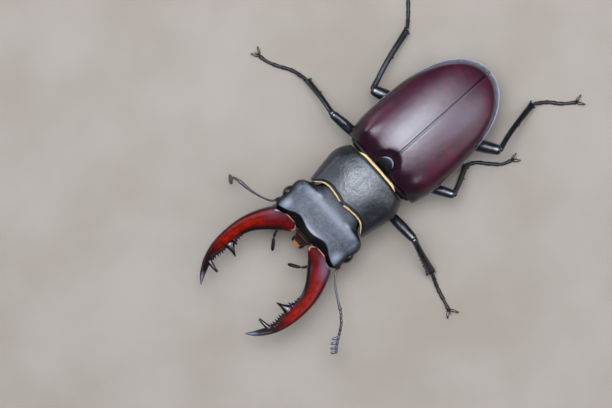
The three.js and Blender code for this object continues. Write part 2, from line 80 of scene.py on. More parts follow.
def aroundRing(sides):
    # evenly spaced turns, once round
    return np.linspace(0, 2 * np.pi, sides, endpoint=False)


def easedShares(count):
    # shares from 0 to 1 that crowd together at both ends
    return 0.5 - 0.5 * np.cos(np.linspace(0, np.pi, count))


def squared(wave, power):
    # a sine or cosine with its sign kept; a power below 1 makes an oval boxier
    return np.sign(wave) * np.abs(wave) ** power


def softCurve(knots):
    # a smooth curve through (place, value) knots that never overshoots them
    places, values = np.array(sorted(knots), float).T
    steps = np.diff(values) / np.diff(places)
    slopes = np.concatenate([steps[:1], np.zeros(len(steps) - 1), steps[-1:]])
    same = steps[:-1] * steps[1:] > 0
    safe = np.where(same, steps[:-1] + steps[1:], 1)
    slopes[1:-1] = np.where(same, 2 * steps[:-1] * steps[1:] / safe, 0)

    def value(at):
        at = np.clip(np.asarray(at, float), places[0], places[-1])
        i = np.clip(np.searchsorted(places, at) - 1, 0, len(places) - 2)
        span = places[i + 1] - places[i]
        t = (at - places[i]) / span
        bend = slopes[i] * span * t * (1 - t) ** 2 - slopes[i + 1] * span * t * t * (1 - t)
        return mix(values[i], values[i + 1], t * t * (3 - 2 * t)) + bend

    return value


def alongRow(row, t):
    # value of an evenly spaced row of numbers at t, from 0 to 1
    return np.interp(np.clip(t, 0, 1) * (len(row) - 1), np.arange(len(row)), row)


def splinePoints(line, t):
    # points on a smooth line through the given ones; each stretch takes an equal share of t
    line = np.array(line, float)
    line = np.vstack([2 * line[0] - line[1], line, 2 * line[-1] - line[-2]])
    place = np.clip(np.atleast_1d(t), 0, 1) * (len(line) - 3)
    i = np.minimum(place.astype(int), len(line) - 4)
    f = (place - i)[:, None]
    a, b, c, d = (line[i + k] for k in range(4))
    ab, bc, cd = (np.linalg.norm(q - p, axis=1)[:, None] ** 0.5 for p, q in ((a, b), (b, c), (c, d)))
    start = ((b - a) / ab - (c - a) / (ab + bc) + (c - b) / bc) * bc
    end = ((c - b) / bc - (d - b) / (bc + cd) + (d - c) / cd) * bc
    return (b + start * f + (3 * (c - b) - 2 * start - end) * f ** 2
            + (2 * (b - c) + start + end) * f ** 3)


def evenPoints(line, shares):
    # points on the same smooth line, by their share of its length
    fine = splinePoints(line, np.linspace(0, 1, 600))
    run = np.concatenate([[0], np.cumsum(np.linalg.norm(np.diff(fine, axis=0), axis=1))])
    wanted = np.clip(np.atleast_1d(shares), 0, 1) * run[-1]
    return np.stack([np.interp(wanted, run, fine[:, k]) for k in range(3)], 1)


def unit(vectors):
    return vectors / np.maximum(np.linalg.norm(vectors, axis=-1, keepdims=True), 1e-12)


def framesAlong(points, steep=0.93, startSteep=0.9):
    # the direction ahead, across and upright at each point of a line, level unless the line is steep
    ahead = unit(np.gradient(points, axis=0))
    if np.abs(ahead[:, 2]).max() < steep:
        across = unit(np.cross(ahead, [0, 0, 1.0]))
        return ahead, across, np.cross(across, ahead)
    across = np.zeros_like(ahead)
    start = np.cross(ahead[0], [0, 0, 1.0] if abs(ahead[0][2]) < startSteep else [0, 1.0, 0])
    for n, way in enumerate(ahead):
        start = unit(start - way * np.dot(start, way))
        across[n] = start
    return ahead, across, np.cross(across, ahead)


# a shape is its points and a list of face arrays
def signedVolume(points, faces):
    total = 0.0
    for group in faces:
        for k in range(1, group.shape[1] - 1):
            a, b, c = (points[group[:, n]] for n in (0, k, k + 1))
            total += np.einsum("ij,ij->i", a, np.cross(b, c)).sum()
    return total


def outward(points, faces):
    if signedVolume(points, faces) < 0:
        faces = [group[:, ::-1] for group in faces]
    return points, faces


def tube(loops, strip=False):
    # a closed solid through loops of equally many points; strip closes a folded section's ends
    loops = np.asarray(loops, float)
    rings, sides = loops.shape[:2]
    index = np.arange(rings * sides).reshape(rings, sides)
    beside = np.roll(index, -1, axis=1)
    quads = [np.stack([index[:-1], beside[:-1], beside[1:], index[1:]], -1).reshape(-1, 4)]
    points, tris = [loops.reshape(-1, 3)], []
    for n, ring in enumerate((0, rings - 1)):
        if strip:
            k = np.arange(sides // 2 - 1)
            cap = np.stack([index[ring][k], index[ring][k + 1],
                            index[ring][sides - 2 - k], index[ring][sides - 1 - k]], -1)
            quads.append(cap if n == 0 else cap[:, ::-1])
        else:
            points.append(loops[ring].mean(0)[None])
            hub = np.full(sides, rings * sides + n)
            ends = (beside[ring], index[ring]) if n == 0 else (index[ring], beside[ring])
            tris.append(np.stack([hub, *ends], -1))
    faces = [np.vstack(quads)] + ([np.vstack(tris)] if tris else [])
    return outward(np.vstack(points), faces)


def sweep(line, width, height=None, rings=60, sides=24, power=1.0, shares=None, even=False):
    # an oval-sectioned solid along a smooth line; width and height give half sizes at t
    t = np.linspace(0, 1, rings + 1) if shares is None else np.asarray(shares, float)
    fine = (evenPoints if even else splinePoints)(line, t)
    across, upright = framesAlong(fine)[1:]
    height = height or width
    turn = aroundRing(sides)
    beside, above = squared(np.cos(turn), power), squared(np.sin(turn), power)
    w, h = width(t)[:, None, None], height(t)[:, None, None]
    return tube(fine[:, None] + across[:, None] * beside[None, :, None] * w
                + upright[:, None] * above[None, :, None] * h)


def ball(centre, radii, rings, sides, poleGap=0.02):
    # poleGap is the angle from each pole to the first ring
    down = np.linspace(poleGap, np.pi - poleGap, rings)
    turn = aroundRing(sides)
    loops = np.stack([np.sin(down)[:, None] * np.cos(turn), np.sin(down)[:, None] * np.sin(turn),
                      np.cos(down)[:, None] * np.ones(sides)], -1)
    return tube(loops * np.array(radii, float) + np.array(centre, float))


def together(shapes):
    points, quads, tris, offset = [], [], [], 0
    for p, faces in shapes:
        points.append(p)
        for group in faces:
            (quads if group.shape[1] == 4 else tris).append(group + offset)
        offset += len(p)
    return np.vstack(points), [np.vstack(g) for g in (quads, tris) if g]


def mirrored(shape):
    points, faces = shape
    return points * [-1, 1, 1], [group[:, ::-1] for group in faces]


def meshOf(name, points, faces):
    mesh = bpy.data.meshes.new(name)
    mesh.vertices.add(len(points))
    mesh.vertices.foreach_set("co", np.asarray(points, np.float32).ravel())
    sizes = np.concatenate([np.full(len(g), g.shape[1]) for g in faces])
    corners = np.concatenate([g.ravel() for g in faces])
    mesh.loops.add(len(corners))
    mesh.loops.foreach_set("vertex_index", corners.astype(np.int32))
    mesh.polygons.add(len(sizes))
    mesh.polygons.foreach_set("loop_start", np.concatenate([[0], np.cumsum(sizes)[:-1]]).astype(np.int32))
    mesh.update(calc_edges=True)
    mesh.polygons.foreach_set("use_smooth", np.ones(len(sizes), bool))
    return mesh


def readOut(items, key, kind, each=1):
    # one value, or each of a few, from every item of a mesh
    values = np.zeros(len(items) * each, kind)
    items.foreach_get(key, values)
    return values


def fused(shapes, voxel, easing=0.5, easings=2):
    # overlapping solids melted into one skin and eased a little, worked out in millimetres
    obj = bpy.data.objects.new("melting", meshOf("melting", *together(shapes)))
    bpy.context.scene.collection.objects.link(obj)
    melt = obj.modifiers.new("melt", "REMESH")
    melt.mode = "VOXEL"
    melt.voxel_size = voxel
    melt.adaptivity = 0
    ease = obj.modifiers.new("ease", "SMOOTH")
    ease.factor = easing
    ease.iterations = easings
    mesh = obj.evaluated_get(bpy.context.evaluated_depsgraph_get()).to_mesh()
    points = readOut(mesh.vertices, "co", np.float32, 3)
    corners = readOut(mesh.loops, "vertex_index", np.int32)
    sizes = readOut(mesh.polygons, "loop_total", np.int32)
    starts = readOut(mesh.polygons, "loop_start", np.int32)
    faces = [corners[starts[sizes == n][:, None] + np.arange(n)] for n in (3, 4) if (sizes == n).any()]
    data = obj.data
    bpy.data.objects.remove(obj)
    bpy.data.meshes.remove(data)
    return outward(points.reshape(-1, 3).astype(float), faces)


def pressed(shape, centre, radii, gap):
    # a pocket for a ball: points inside it move up onto its surface
    points, faces = shape
    points = points.copy()
    off = (points - centre) / (np.array(radii) + gap)
    flat = off[:, 0] ** 2 + off[:, 1] ** 2
    inside = (off ** 2).sum(1) < 1
    lift = np.sqrt(np.maximum(0, 1 - flat)) * (radii[2] + gap)
    points[inside, 2] = centre[2] + lift[inside]
    return points, faces


def piece(name, shape, finish, stands, tones=None):
    # puts a shape into the scene as a piece that stands for the named nodes
    points, faces = shape
    obj = bpy.data.objects.new(name, meshOf(name, toFrame(points), faces))
    bpy.context.scene.collection.objects.link(obj)
    for key, values in (tones or {}).items():
        obj.data.attributes.new(key, "FLOAT", "POINT").data.foreach_set(
            "value", np.broadcast_to(values, len(points)).astype(np.float32))
    obj.data.materials.append(finish)
    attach(obj, "root")
    if stands:
        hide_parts(*stands)
    return obj


def paint(red, green, blue):
    # a colour as it looks on a screen, each part from 0 to 255
    parts = [c / 255 for c in (red, green, blue)]
    return tuple(c / 12.92 if c < 0.04045 else ((c + 0.055) / 1.055) ** 2.4 for c in parts) + (1.0,)


class Finish:
    # a material, with short ways of adding nodes to it; sizes are in millimetres
    def __init__(self, name):
        self.material = bpy.data.materials.new(name)
        self.material.use_nodes = True
        self.tree = self.material.node_tree
        self.shader = self.tree.nodes["Principled BSDF"]
        self.place = self.add("ShaderNodeTexCoord").outputs["Object"]

    def add(self, kind, settings=None, **inputs):
        node = self.tree.nodes.new(kind)
        for key, value in (settings or {}).items():
            setattr(node, key, value)
        for key, value in inputs.items():
            self.put(node.inputs[key], value)
        return node

    def put(self, socket, value):
        if isinstance(value, bpy.types.NodeSocket):
            self.tree.links.new(value, socket)
        else:
            socket.default_value = value

    def set(self, **values):
        for key, value in values.items():
            self.put(self.shader.inputs[key.replace("_", " ")], value)

    def tone(self, name):
        return self.add("ShaderNodeAttribute", {"attribute_name": name}).outputs["Fac"]

    def noise(self, size, detail=2.0):
        node = self.add("ShaderNodeTexNoise", Vector=self.place, Scale=1000.0 / size, Detail=detail)
        return node.outputs["Fac"]

    def cells(self, size, randomness=1.0):
        node = self.add("ShaderNodeTexVoronoi", {"feature": "F1"}, Vector=self.place,
                        Scale=1000.0 / size, Randomness=randomness)
        return node.outputs["Distance"]

    def times(self, a, b):
        node = self.add("ShaderNodeMath", {"operation": "MULTIPLY"})
        self.put(node.inputs[0], a)
        self.put(node.inputs[1], b)
        return node.outputs[0]

    def spread(self, value, low, high, start=0.0, end=1.0):
        node = self.add("ShaderNodeMapRange", {"interpolation_type": "SMOOTHSTEP"}, Value=value)
        for key, number in (("From Min", low), ("From Max", high), ("To Min", start), ("To Max", end)):
            node.inputs[key].default_value = number
        return node.outputs["Result"]

    def blend(self, share, a, b):
        # colour a where share is 0, colour b where it is 1
        node = self.add("ShaderNodeMix", {"data_type": "RGBA"}, Factor=share)
        self.put(node.inputs[6], a)
        self.put(node.inputs[7], b)
        return node.outputs[2]

    def clouds(self, size, low, high, share=1.0, detail=3.0):
        # soft patches of noise that begin at low and are full at high, at most share strong
        patches = self.spread(self.noise(size, detail), low, high)
        return patches if share == 1 else self.times(patches, share)

    def toned(self, colour, look, *names):
        # lays on the look's colours where the piece's tones of the same names say
        for name in names:
            colour = self.blend(self.tone(name), colour, look[name])
        return colour

    def bump(self, height, depth, normal=None):
        node = self.add("ShaderNodeBump", Height=height, Strength=1.0, Distance=depth / 1000.0)
        if normal is not None:
            self.put(node.inputs["Normal"], normal)
        return node.outputs["Normal"]

    def pits(self, size, low, high, depth):
        # round dents; low and high say how far from its middle a dent begins and ends to rise
        return self.bump(self.spread(self.cells(size), low, high), depth)

    def ripples(self, relief, *layers):
        # more relief in noise, each layer with its size, detail and depth
        for size, detail, depth in layers:
            relief = self.bump(self.noise(size, detail), depth, relief)
        return relief


# finishes; clouds are (size, begins, full, strength), pits (size, begins, ends, depth)
# and ripples (size, detail, depth), all sizes and depths in millimetres
def elytronFinish():
    # middle and edge are the case's own maroon and its darker mottle; the edge colour also lays on painted
    # shade, rim is a painted reflection and bead a painted highlight
    look = {"middle": paint(58, 12, 32), "edge": paint(18, 7, 15), "rim": paint(112, 116, 130),
            "bead": paint(150, 157, 174), "streak": paint(82, 13, 33),
            "mottle": (1.6, 0.35, 0.7, 0.5), "streaks": (3.4, 0.46, 0.7), "streakShare": 0.45,
            "rimPatches": (0.96, 0.3, 0.6), "rimLeast": 0.55, "pits": (0.21, 0.08, 0.34, 0.006),
            "ripples": [(0.07, 2.0, 0.004), (0.9, 3.0, 0.02), (2.6, 2.0, 0.04)],
            "roughness": (0.32, 0.24), "roughnessFrom": (0.0, 0.6),     # in the middle and at the edges
            "specular": 0.6, "coat": 0.05, "coatRoughness": 0.25}
    f = Finish("elytron")
    colour = f.blend(f.clouds(*look["mottle"]), look["middle"], look["edge"])
    streaks = f.times(f.clouds(*look["streaks"]), f.tone("flank"))
    colour = f.blend(f.times(streaks, look["streakShare"]), colour, look["streak"])
    # painted shade: darker on the sloping sides, in the gutter inside the rim, where the front turns down,
    # along the suture and round the scutellum
    colour = f.toned(colour, look, "edge")
    # painted reflection: a pale blue-grey band on the margin round the tail, broken into patches
    size, low, high = look["rimPatches"]
    patches = f.spread(f.noise(size, 3.0), low, high, look["rimLeast"], 1.0)
    colour = f.blend(f.times(f.tone("rim"), patches), colour, look["rim"])
    # painted highlight along the raised rim
    colour = f.toned(colour, look, "bead")
    relief = f.ripples(f.pits(*look["pits"]), *look["ripples"])
    roughness = f.spread(f.tone("edge"), *look["roughnessFrom"], *look["roughness"])
    f.set(Base_Color=colour, Roughness=roughness, Normal=relief, Specular_IOR_Level=look["specular"],
          Coat_Weight=look["coat"], Coat_Roughness=look["coatRoughness"])
    return f.material


# what all the shell finishes share; the coat fades between these two strengths of the dark tone
shellShared = {"grainEdge": (0.0, 0.55), "grainShare": 0.3, "coatFades": (0.9, 0.1)}


def shellFinish(name, look):
    # matt granular plates: packed round grains with painted shade and a fine dusty bloom between them
    f = Finish(name)
    grains = f.spread(f.cells(look["grain"]), *shellShared["grainEdge"])
    colour = f.blend(f.clouds(*look["bloomClouds"]), look["ground"], look["bloom"])
    colour = f.blend(f.clouds(*look["crownSpecks"], detail=2.0), colour, look["crown"])
    # painted shade in the gaps between the grains
    colour = f.blend(f.times(grains, shellShared["grainShare"]), colour, look["dark"])
    # pale lays on painted highlights and dark on painted shade; the even dark of the labrum and the brush
    # stalk is their own colour
    colour = f.toned(colour, look, "pale", "dark")
    relief = f.ripples(f.bump(f.times(grains, -1.0), look["height"]), *look["ripples"])
    coat = f.spread(f.tone("dark"), *shellShared["coatFades"], 0.0, look["coat"])
    f.set(Base_Color=colour, Roughness=look["roughness"], Normal=relief, Specular_IOR_Level=look["specular"],
          Coat_Weight=coat, Coat_Roughness=look["roughness"])
    return f.material


def mandibleFinish():
    look = {"red": paint(96, 7, 3), "warm": paint(124, 19, 4), "deep": paint(52, 3, 3),
            "dark": paint(9, 6, 8), "baseReflection": paint(98, 78, 96), "sheen": paint(122, 126, 142),
            "membrane": paint(168, 136, 112), "streaks": (0.9, 0.3, 0.7, 0.6),
            "pits": (0.34, 0.05, 0.3, 0.008), "ripples": [(0.09, 2.0, 0.004), (1.5, 2.0, 0.05)],
            "roughness": 0.4, "specular": 0.07,
            "coatFrom": (0.5, 0.97), "coatRoughness": 0.16}     # the black parts are the glossy ones
    f = Finish("mandible")
    colour = f.toned(look["red"], look, "warm")
    colour = f.blend(f.clouds(*look["streaks"]), colour, look["deep"])
    # a painted lilac reflection at the base, the jaw's black and painted shade, a painted highlight on the
    # tips and the pale membrane
    colour = f.toned(colour, look, "baseReflection", "dark", "sheen", "membrane")
    relief = f.ripples(f.pits(*look["pits"]), *look["ripples"])
    f.set(Base_Color=colour, Roughness=look["roughness"], Normal=relief, Specular_IOR_Level=look["specular"],
          Coat_Weight=f.spread(f.tone("dark"), *look["coatFrom"]), Coat_Roughness=look["coatRoughness"])
    return f.material


# what all the limb finishes share; the grain is as deep as this share of the pits
limbShared = {"mottleEdges": (0.35, 0.7), "pitEdges": (0.04, 0.3), "grain": 0.11, "grainShare": 0.5,
              "ripple": (0.9, 2.0, 0.035), "coatRoughness": 0.15}


def limbFinish(name, look):
    # smooth dark limbs with scattered pits, a fine grain and slow ripples
    f = Finish(name)
    mottle = f.clouds(look["mottle"], *limbShared["mottleEdges"], detail=2.0)
    colour = f.toned(f.blend(mottle, look["dark"], look["light"]), look, "tip")
    grain = (limbShared["grain"], 3.0, look["depth"] * limbShared["grainShare"])
    relief = f.pits(look["pit"], *limbShared["pitEdges"], look["depth"])
    relief = f.ripples(relief, grain, limbShared["ripple"])
    f.set(Base_Color=colour, Roughness=look["roughness"], Normal=relief, Specular_IOR_Level=look["specular"],
          Coat_Weight=look["coat"], Coat_Roughness=limbShared["coatRoughness"])
    return f.material


def undersideFinish():
    look = {"ground": paint(30, 20, 18), "light": paint(58, 38, 28), "dark": paint(12, 9, 9),
            "mottle": (1.1, 0.35, 0.7), "pits": (0.26, 0.05, 0.32, 0.014), "ripples": [(0.07, 2.0, 0.006)],
            "roughness": 0.45}
    f = Finish("underside")
    colour = f.blend(f.clouds(*look["mottle"]), look["ground"], look["light"])
    relief = f.ripples(f.pits(*look["pits"]), *look["ripples"])
    # the dark tone lays on painted shade
    f.set(Base_Color=f.toned(colour, look, "dark"), Roughness=look["roughness"], Normal=relief)
    return f.material


def eyeFinish():
    look = {"ground": paint(11, 9, 10), "glow": paint(34, 19, 13), "seam": paint(6, 5, 6),
            "glowClouds": (1.0, 0.35, 0.75), "facet": 0.075, "irregular": 0.25, "seamEdge": (0.35, 0.6),
            "bulge": 0.012, "roughness": 0.16, "coat": 0.5, "coatRoughness": 0.08}
    f = Finish("eye")
    facets = f.cells(look["facet"], randomness=look["irregular"])
    colour = f.blend(f.clouds(*look["glowClouds"], detail=2.0), look["ground"], look["glow"])
    colour = f.blend(f.spread(facets, *look["seamEdge"]), colour, look["seam"])
    relief = f.bump(f.times(facets, -1.0), look["bulge"])
    f.set(Base_Color=colour, Roughness=look["roughness"], Normal=relief, Coat_Weight=look["coat"],
          Coat_Roughness=look["coatRoughness"])
    return f.material


# what both hair finishes share
hairShared = {"otherShare": 0.6, "grain": (0.03, 2.0, 0.002), "specular": 0.4}


def hairFinish(name, look):
    # each hair is darker at its root, paler at its tip and a little different from its neighbours
    f = Finish(name)
    colour = f.toned(look["root"], look, "tip")
    colour = f.blend(f.times(f.tone("shade"), hairShared["otherShare"]), colour, look["other"])
    size, detail, depth = hairShared["grain"]
    f.set(Base_Color=colour, Roughness=look["roughness"], Normal=f.bump(f.noise(size, detail), depth),
          Specular_IOR_Level=hairShared["specular"])
    return f.material


finishes = {
    "elytron": elytronFinish(),
    # the dark colour lays on painted shade
    "pronotum": shellFinish("pronotum", {
        "ground": paint(12, 13, 16), "bloom": paint(30, 32, 38), "crown": paint(40, 43, 50),
        "dark": paint(6, 6, 8), "pale": paint(60, 64, 74), "bloomClouds": (0.9, 0.3, 0.75, 0.6),
        "crownSpecks": (0.34, 0.4, 0.62, 0.3), "grain": 0.17, "height": 0.018,
        "ripples": [(0.068, 2.0, 0.0054), (0.6, 2.0, 0.056), (1.9, 2.0, 0.05)],
        "roughness": 0.31, "specular": 0.6, "coat": 0.1}),
    # the head's dark colour lays on painted shade and its pale colour painted highlights
    "head": shellFinish("head", {
        "ground": paint(40, 44, 50), "bloom": paint(78, 84, 95), "crown": paint(98, 104, 116),
        "dark": paint(3, 3, 4), "pale": paint(140, 145, 155), "bloomClouds": (1.1, 0.3, 0.75, 0.6),
        "crownSpecks": (0.42, 0.4, 0.62, 0.3), "grain": 0.15, "height": 0.022,
        "ripples": [(0.06, 2.0, 0.0066), (0.6, 2.0, 0.055), (1.9, 2.0, 0.05)],
        "roughness": 0.46, "specular": 0.2, "coat": 0.34}),
    "labrum": shellFinish("labrum", {
        "ground": paint(40, 15, 11), "bloom": paint(60, 24, 16), "crown": paint(50, 20, 14),
        "dark": paint(10, 8, 9), "pale": paint(58, 24, 20), "bloomClouds": (0.7, 0.3, 0.75, 0.6),
        "crownSpecks": (0.3, 0.4, 0.62, 0.3), "grain": 0.16, "height": 0.02,
        "ripples": [(0.064, 2.0, 0.006), (0.6, 2.0, 0.044), (1.9, 2.0, 0.05)],
        "roughness": 0.4, "specular": 0.2, "coat": 0.1}),
    "mandible": mandibleFinish(),
    "underside": undersideFinish(),
    "eye": eyeFinish(),
    "limb": limbFinish("limb", {
        "dark": paint(12, 12, 16), "light": paint(24, 24, 31), "tip": paint(40, 22, 17), "mottle": 1.3,
        "pit": 0.3, "depth": 0.008, "roughness": 0.2, "specular": 0.62, "coat": 0.25}),
    # the scutellum's tip colour is a painted highlight along its rear margin
    "scutellum": limbFinish("scutellum", {
        "dark": paint(5, 5, 7), "light": paint(13, 13, 17), "tip": paint(132, 134, 146), "mottle": 0.7,
        "pit": 0.2, "depth": 0.008, "roughness": 0.34, "specular": 0.2, "coat": 0.04}),
    "foot": limbFinish("foot", {
        "dark": paint(12, 11, 14), "light": paint(24, 21, 26), "tip": paint(40, 22, 17), "mottle": 0.7,
        "pit": 0.18, "depth": 0.008, "roughness": 0.42, "specular": 0.3, "coat": 0.05}),
    "palp": limbFinish("palp", {
        "dark": paint(3, 2, 3), "light": paint(8, 6, 6), "tip": paint(40, 22, 17), "mottle": 0.7,
        "pit": 0.2, "depth": 0.008, "roughness": 0.4, "specular": 0.14, "coat": 0.0}),
    "feeler": limbFinish("feeler", {
        "dark": paint(24, 22, 27), "light": paint(48, 43, 53), "tip": paint(78, 68, 80), "mottle": 0.8,
        "pit": 0.16, "depth": 0.008, "roughness": 0.34, "specular": 0.7, "coat": 0.2}),
    "claw": limbFinish("claw", {
        "dark": paint(24, 13, 11), "light": paint(44, 22, 15), "tip": paint(10, 8, 9), "mottle": 0.6,
        "pit": 0.2, "depth": 0.005, "roughness": 0.26, "specular": 0.5, "coat": 0.35}),
    "fringe": hairFinish("fringe", {
        "root": paint(236, 186, 108), "tip": paint(255, 240, 188), "other": paint(250, 212, 140),
        "roughness": 0.35}),
    "brush": hairFinish("brush", {
        "root": paint(150, 70, 14), "tip": paint(246, 168, 48), "other": paint(226, 122, 20),
        "roughness": 0.45}),
}
print("stage: finishes made")


# wing cases
elytra = {
    "frontY": -2.2, "tipY": 26.5, "halfWidth": 10.2, "rimZ": 9.0, "arch": 5.7, "taper": 3.8, "archTaper": 3.0,
    "crossPower": 0.85, "shoulderShare": 0.25, "shoulderInset": 0.1, "frontShare": 0.3, "frontDrop": 0.22,
    "notchDepth": 3.05, "notchHalfWidth": 2.12,
    "gap": 0.04,                # free space each side of the midline
    "shell": (0.3, 0.42),       # thickness of the case at its rim and inside
    "flange": (0.17, 1.35),     # width of the spread margin along the sides and round the tail
    "flangeWidens": (0.45, 0.95),   # shares of the length between which it goes from one to the other
    "bead": 0.17,               # radius of the raised rim
    "frontRoll": (3.4, 1.15),   # how far back the front edge begins to turn down, and how far down it goes
    "notchRoll": (0.8, 0.3),    # the same round the scutellum: how far down, and how wide
    "frontEdge": (0.34, 0.14),  # the rounding of the very edge: depth and width
    # along the midline, a raised seam and the groove beside it: height, place, half width
    "seam": (0.025, 0.2, 0.14), "seamGroove": (0.016, 0.5, 0.16),
    # soft rises and hollows: height, middle in x and y, half width in x and y
    "bosses": [(0.3, 7.3, 1.0, 1.15, 2.1), (-0.12, 5.2, -0.4, 0.9, 1.8)],
    # faint lengthwise ribs: where across each case, height and half width
    "ribs": (0.2, 0.36, 0.52, 0.67, 0.8), "ribHeight": 0.002, "ribWidth": 0.035,
    "firstRows": (0, 0.0009, 0.002, 0.0035, 0.0055, 0.008), "rows": 170, "columns": 96, "beadSteps": 10,
}


def elytraHalfWidth(t):
    t = np.maximum(t, 0)
    taper = np.sqrt(np.maximum(0, 1 - t ** elytra["taper"]))
    inset = elytra["shoulderInset"] * np.maximum(0, 1 - t / elytra["shoulderShare"]) ** 2
    return elytra["halfWidth"] * taper * (1 - inset)


def elytraArch(t):
    t = np.maximum(t, 0)
    fall = np.maximum(0, 1 - t ** elytra["archTaper"]) ** (2 / 3)
    frontFall = elytra["frontDrop"] * np.maximum(0, 1 - t / elytra["frontShare"]) ** 2
    return elytra["arch"] * fall * (1 - frontFall)


def elytraFront(x):
    notch = np.sqrt(np.maximum(0, 1 - (x / elytra["notchHalfWidth"]) ** 2))
    return elytra["frontY"] + elytra["notchDepth"] * notch


def elytronTop(x, y):
    # height of the domed upper face, turned down at the front and towards the scutellum
    length = np.clip((y - elytra["frontY"]) / (elytra["tipY"] - elytra["frontY"]), 0, 1)
    halfWidth = np.maximum(elytraHalfWidth(length), np.abs(x) + 1e-6)
    dome = elytraArch(length) * (1 - (x / halfWidth) ** 2) ** (elytra["crossPower"] / 2)
    reach, depth = elytra["frontRoll"]
    roll = depth * np.clip(1 - (y - elytra["frontY"]) / reach, 0, 1) ** 2
    ringed = np.hypot(x / elytra["notchHalfWidth"], (y - elytra["frontY"]) / elytra["notchDepth"])
    deep, wide = elytra["notchRoll"]
    return dome, roll + deep * hump(ringed, 1, wide) * smoothStep(elytra["frontY"] - 0.2, 0.2, y)


def elytronShape():
    # the left wing case: for each row a folded section, out over the top and back inside
    rim, rows, columns = elytra["rimZ"], elytra["rows"], elytra["columns"]
    t = np.append(elytra["firstRows"], np.sin(np.linspace(0.008, 0.9985, rows) * np.pi / 2))[:, None]
    s = np.linspace(0, 1, columns)[None]
    angle = (0.35 * s + 0.65 * s ** 1.6) * np.pi / 2      # columns crowd towards the midline
    width = elytraHalfWidth(t)
    x = elytra["gap"] + np.maximum(width - elytra["gap"], 0.02) * np.sin(angle)
    y = mix(elytraFront(x), elytra["tipY"], t)
    dome, turned = elytronTop(x, y)

    # distance in plan from the outer edge, for the flat margin
    edgeT = np.sin(np.linspace(0, 1, 700) * np.pi / 2)
    edge = np.stack([elytraHalfWidth(edgeT), mix(elytra["frontY"], elytra["tipY"], edgeT)], 1)
    flat = np.stack([x, y], -1).reshape(-1, 1, 2)
    away = np.concatenate([np.sqrt(((part - edge) ** 2).sum(-1)).min(1)
                           for part in np.array_split(flat, 24)]).reshape(x.shape)
    flange = mix(*elytra["flange"], smoothStep(*elytra["flangeWidens"], t))
    z = rim + dome * smoothStep(0.02, flange, away)
    z += ridge(elytra["seam"], x) - ridge(elytra["seamGroove"], x) * smoothStep(0.0, 0.08, t)
    z += bosses(elytra["bosses"], x, y)
    fading = elytra["ribHeight"] * smoothStep(0.05, 0.3, t) * (1 - t ** 6)
    for n, at in enumerate(elytra["ribs"]):
        z += fading * hump(x / np.maximum(width, 0.4), at + 0.01 * np.sin(3 * t + n), elytra["ribWidth"])
    deep, wide = elytra["frontEdge"]
    z -= turned + deep * hump(y, elytraFront(x), wide)

    # the raised rim, a half round that turns under
    r = np.minimum(elytra["bead"], 0.45 * np.maximum(width, 0.05))
    turn = np.linspace(np.pi / 2, -np.pi / 2, elytra["beadSteps"])[None]
    slope = np.gradient(edge, axis=0)
    way = np.stack([slope[:, 1], -slope[:, 0]], 1)
    way /= np.linalg.norm(way, axis=1, keepdims=True)
    wayX, wayY = (np.interp(t[:, 0], edgeT, way[:, k])[:, None] for k in range(2))
    edgeX, edgeY = x[:, -1:], y[:, -1:]
    centreX, centreY = edgeX - wayX * r, edgeY - wayY * r
    beadX = centreX + wayX * r * np.cos(turn)
    beadY = centreY + wayY * r * np.cos(turn)
    beadZ = z[:, -1:] - 0.02 + r * np.sin(turn)

    pull = smoothStep(0, 0.5, away)   # the inner face keeps clear of the rim
    inX = np.maximum(x - (1 - pull) * wayX * 2 * r, elytra["gap"])
    inY = y - (1 - pull) * wayY * 2 * r
    inZ = z - mix(*elytra["shell"], pull)
    loops = np.concatenate([np.stack([x, y, z], -1), np.stack([beadX, beadY, beadZ], -1),
                            np.stack([inX, inY, inZ], -1)[:, ::-1]], 1)
    tones = np.concatenate([away, np.zeros_like(beadX), away[:, ::-1]], 1)
    share = np.broadcast_to(t, tones.shape)
    return tube(loops, strip=True), tones.ravel(), share.ravel()


# where the wing cases' painted shade (dark), painted reflection (pale), painted highlight (bead) and own
# streaks lie;
# strengths run from 0 to 1, places and widths are in millimetres, but for paleFrom, beadDim and beadFrom,
# whose places are shares of the length
elytronColours = {
    # painted shade on the sloping sides and in a line along the gutter inside the rim
    "darkSides": (0.5, 0.2, 3.0),         # strength at the edge, where it starts to fade and where it is gone
    "darkLine": (0.4, 0.5, 0.25),         # strength, place in from the edge and half width
    # painted shade where the front turns down and round the scutellum
    "darkFront": (0.8, 3.0, -0.6),        # strength, where it begins and where it is full
    "darkBehindNotch": (1.5, 2.6),        # how much further back it reaches behind the scutellum, half width
    "streakSides": (3.6, 6.5), "streakTail": (18, 22.5), "streakLeast": 0.12,
    # a painted reflection on the margin round the tail
    "paleTail": 0.75, "paleWidth": (0.3, 1.25), "paleFrom": (0.6, 0.95),
    # a painted highlight along the raised rim, dimmer about the middle of its length
    "bead": 0.65, "beadDim": (0.5, 0.52, 0.12), "beadWidth": (0.14, 0.02), "beadFrom": (0.06, 0.3),
}


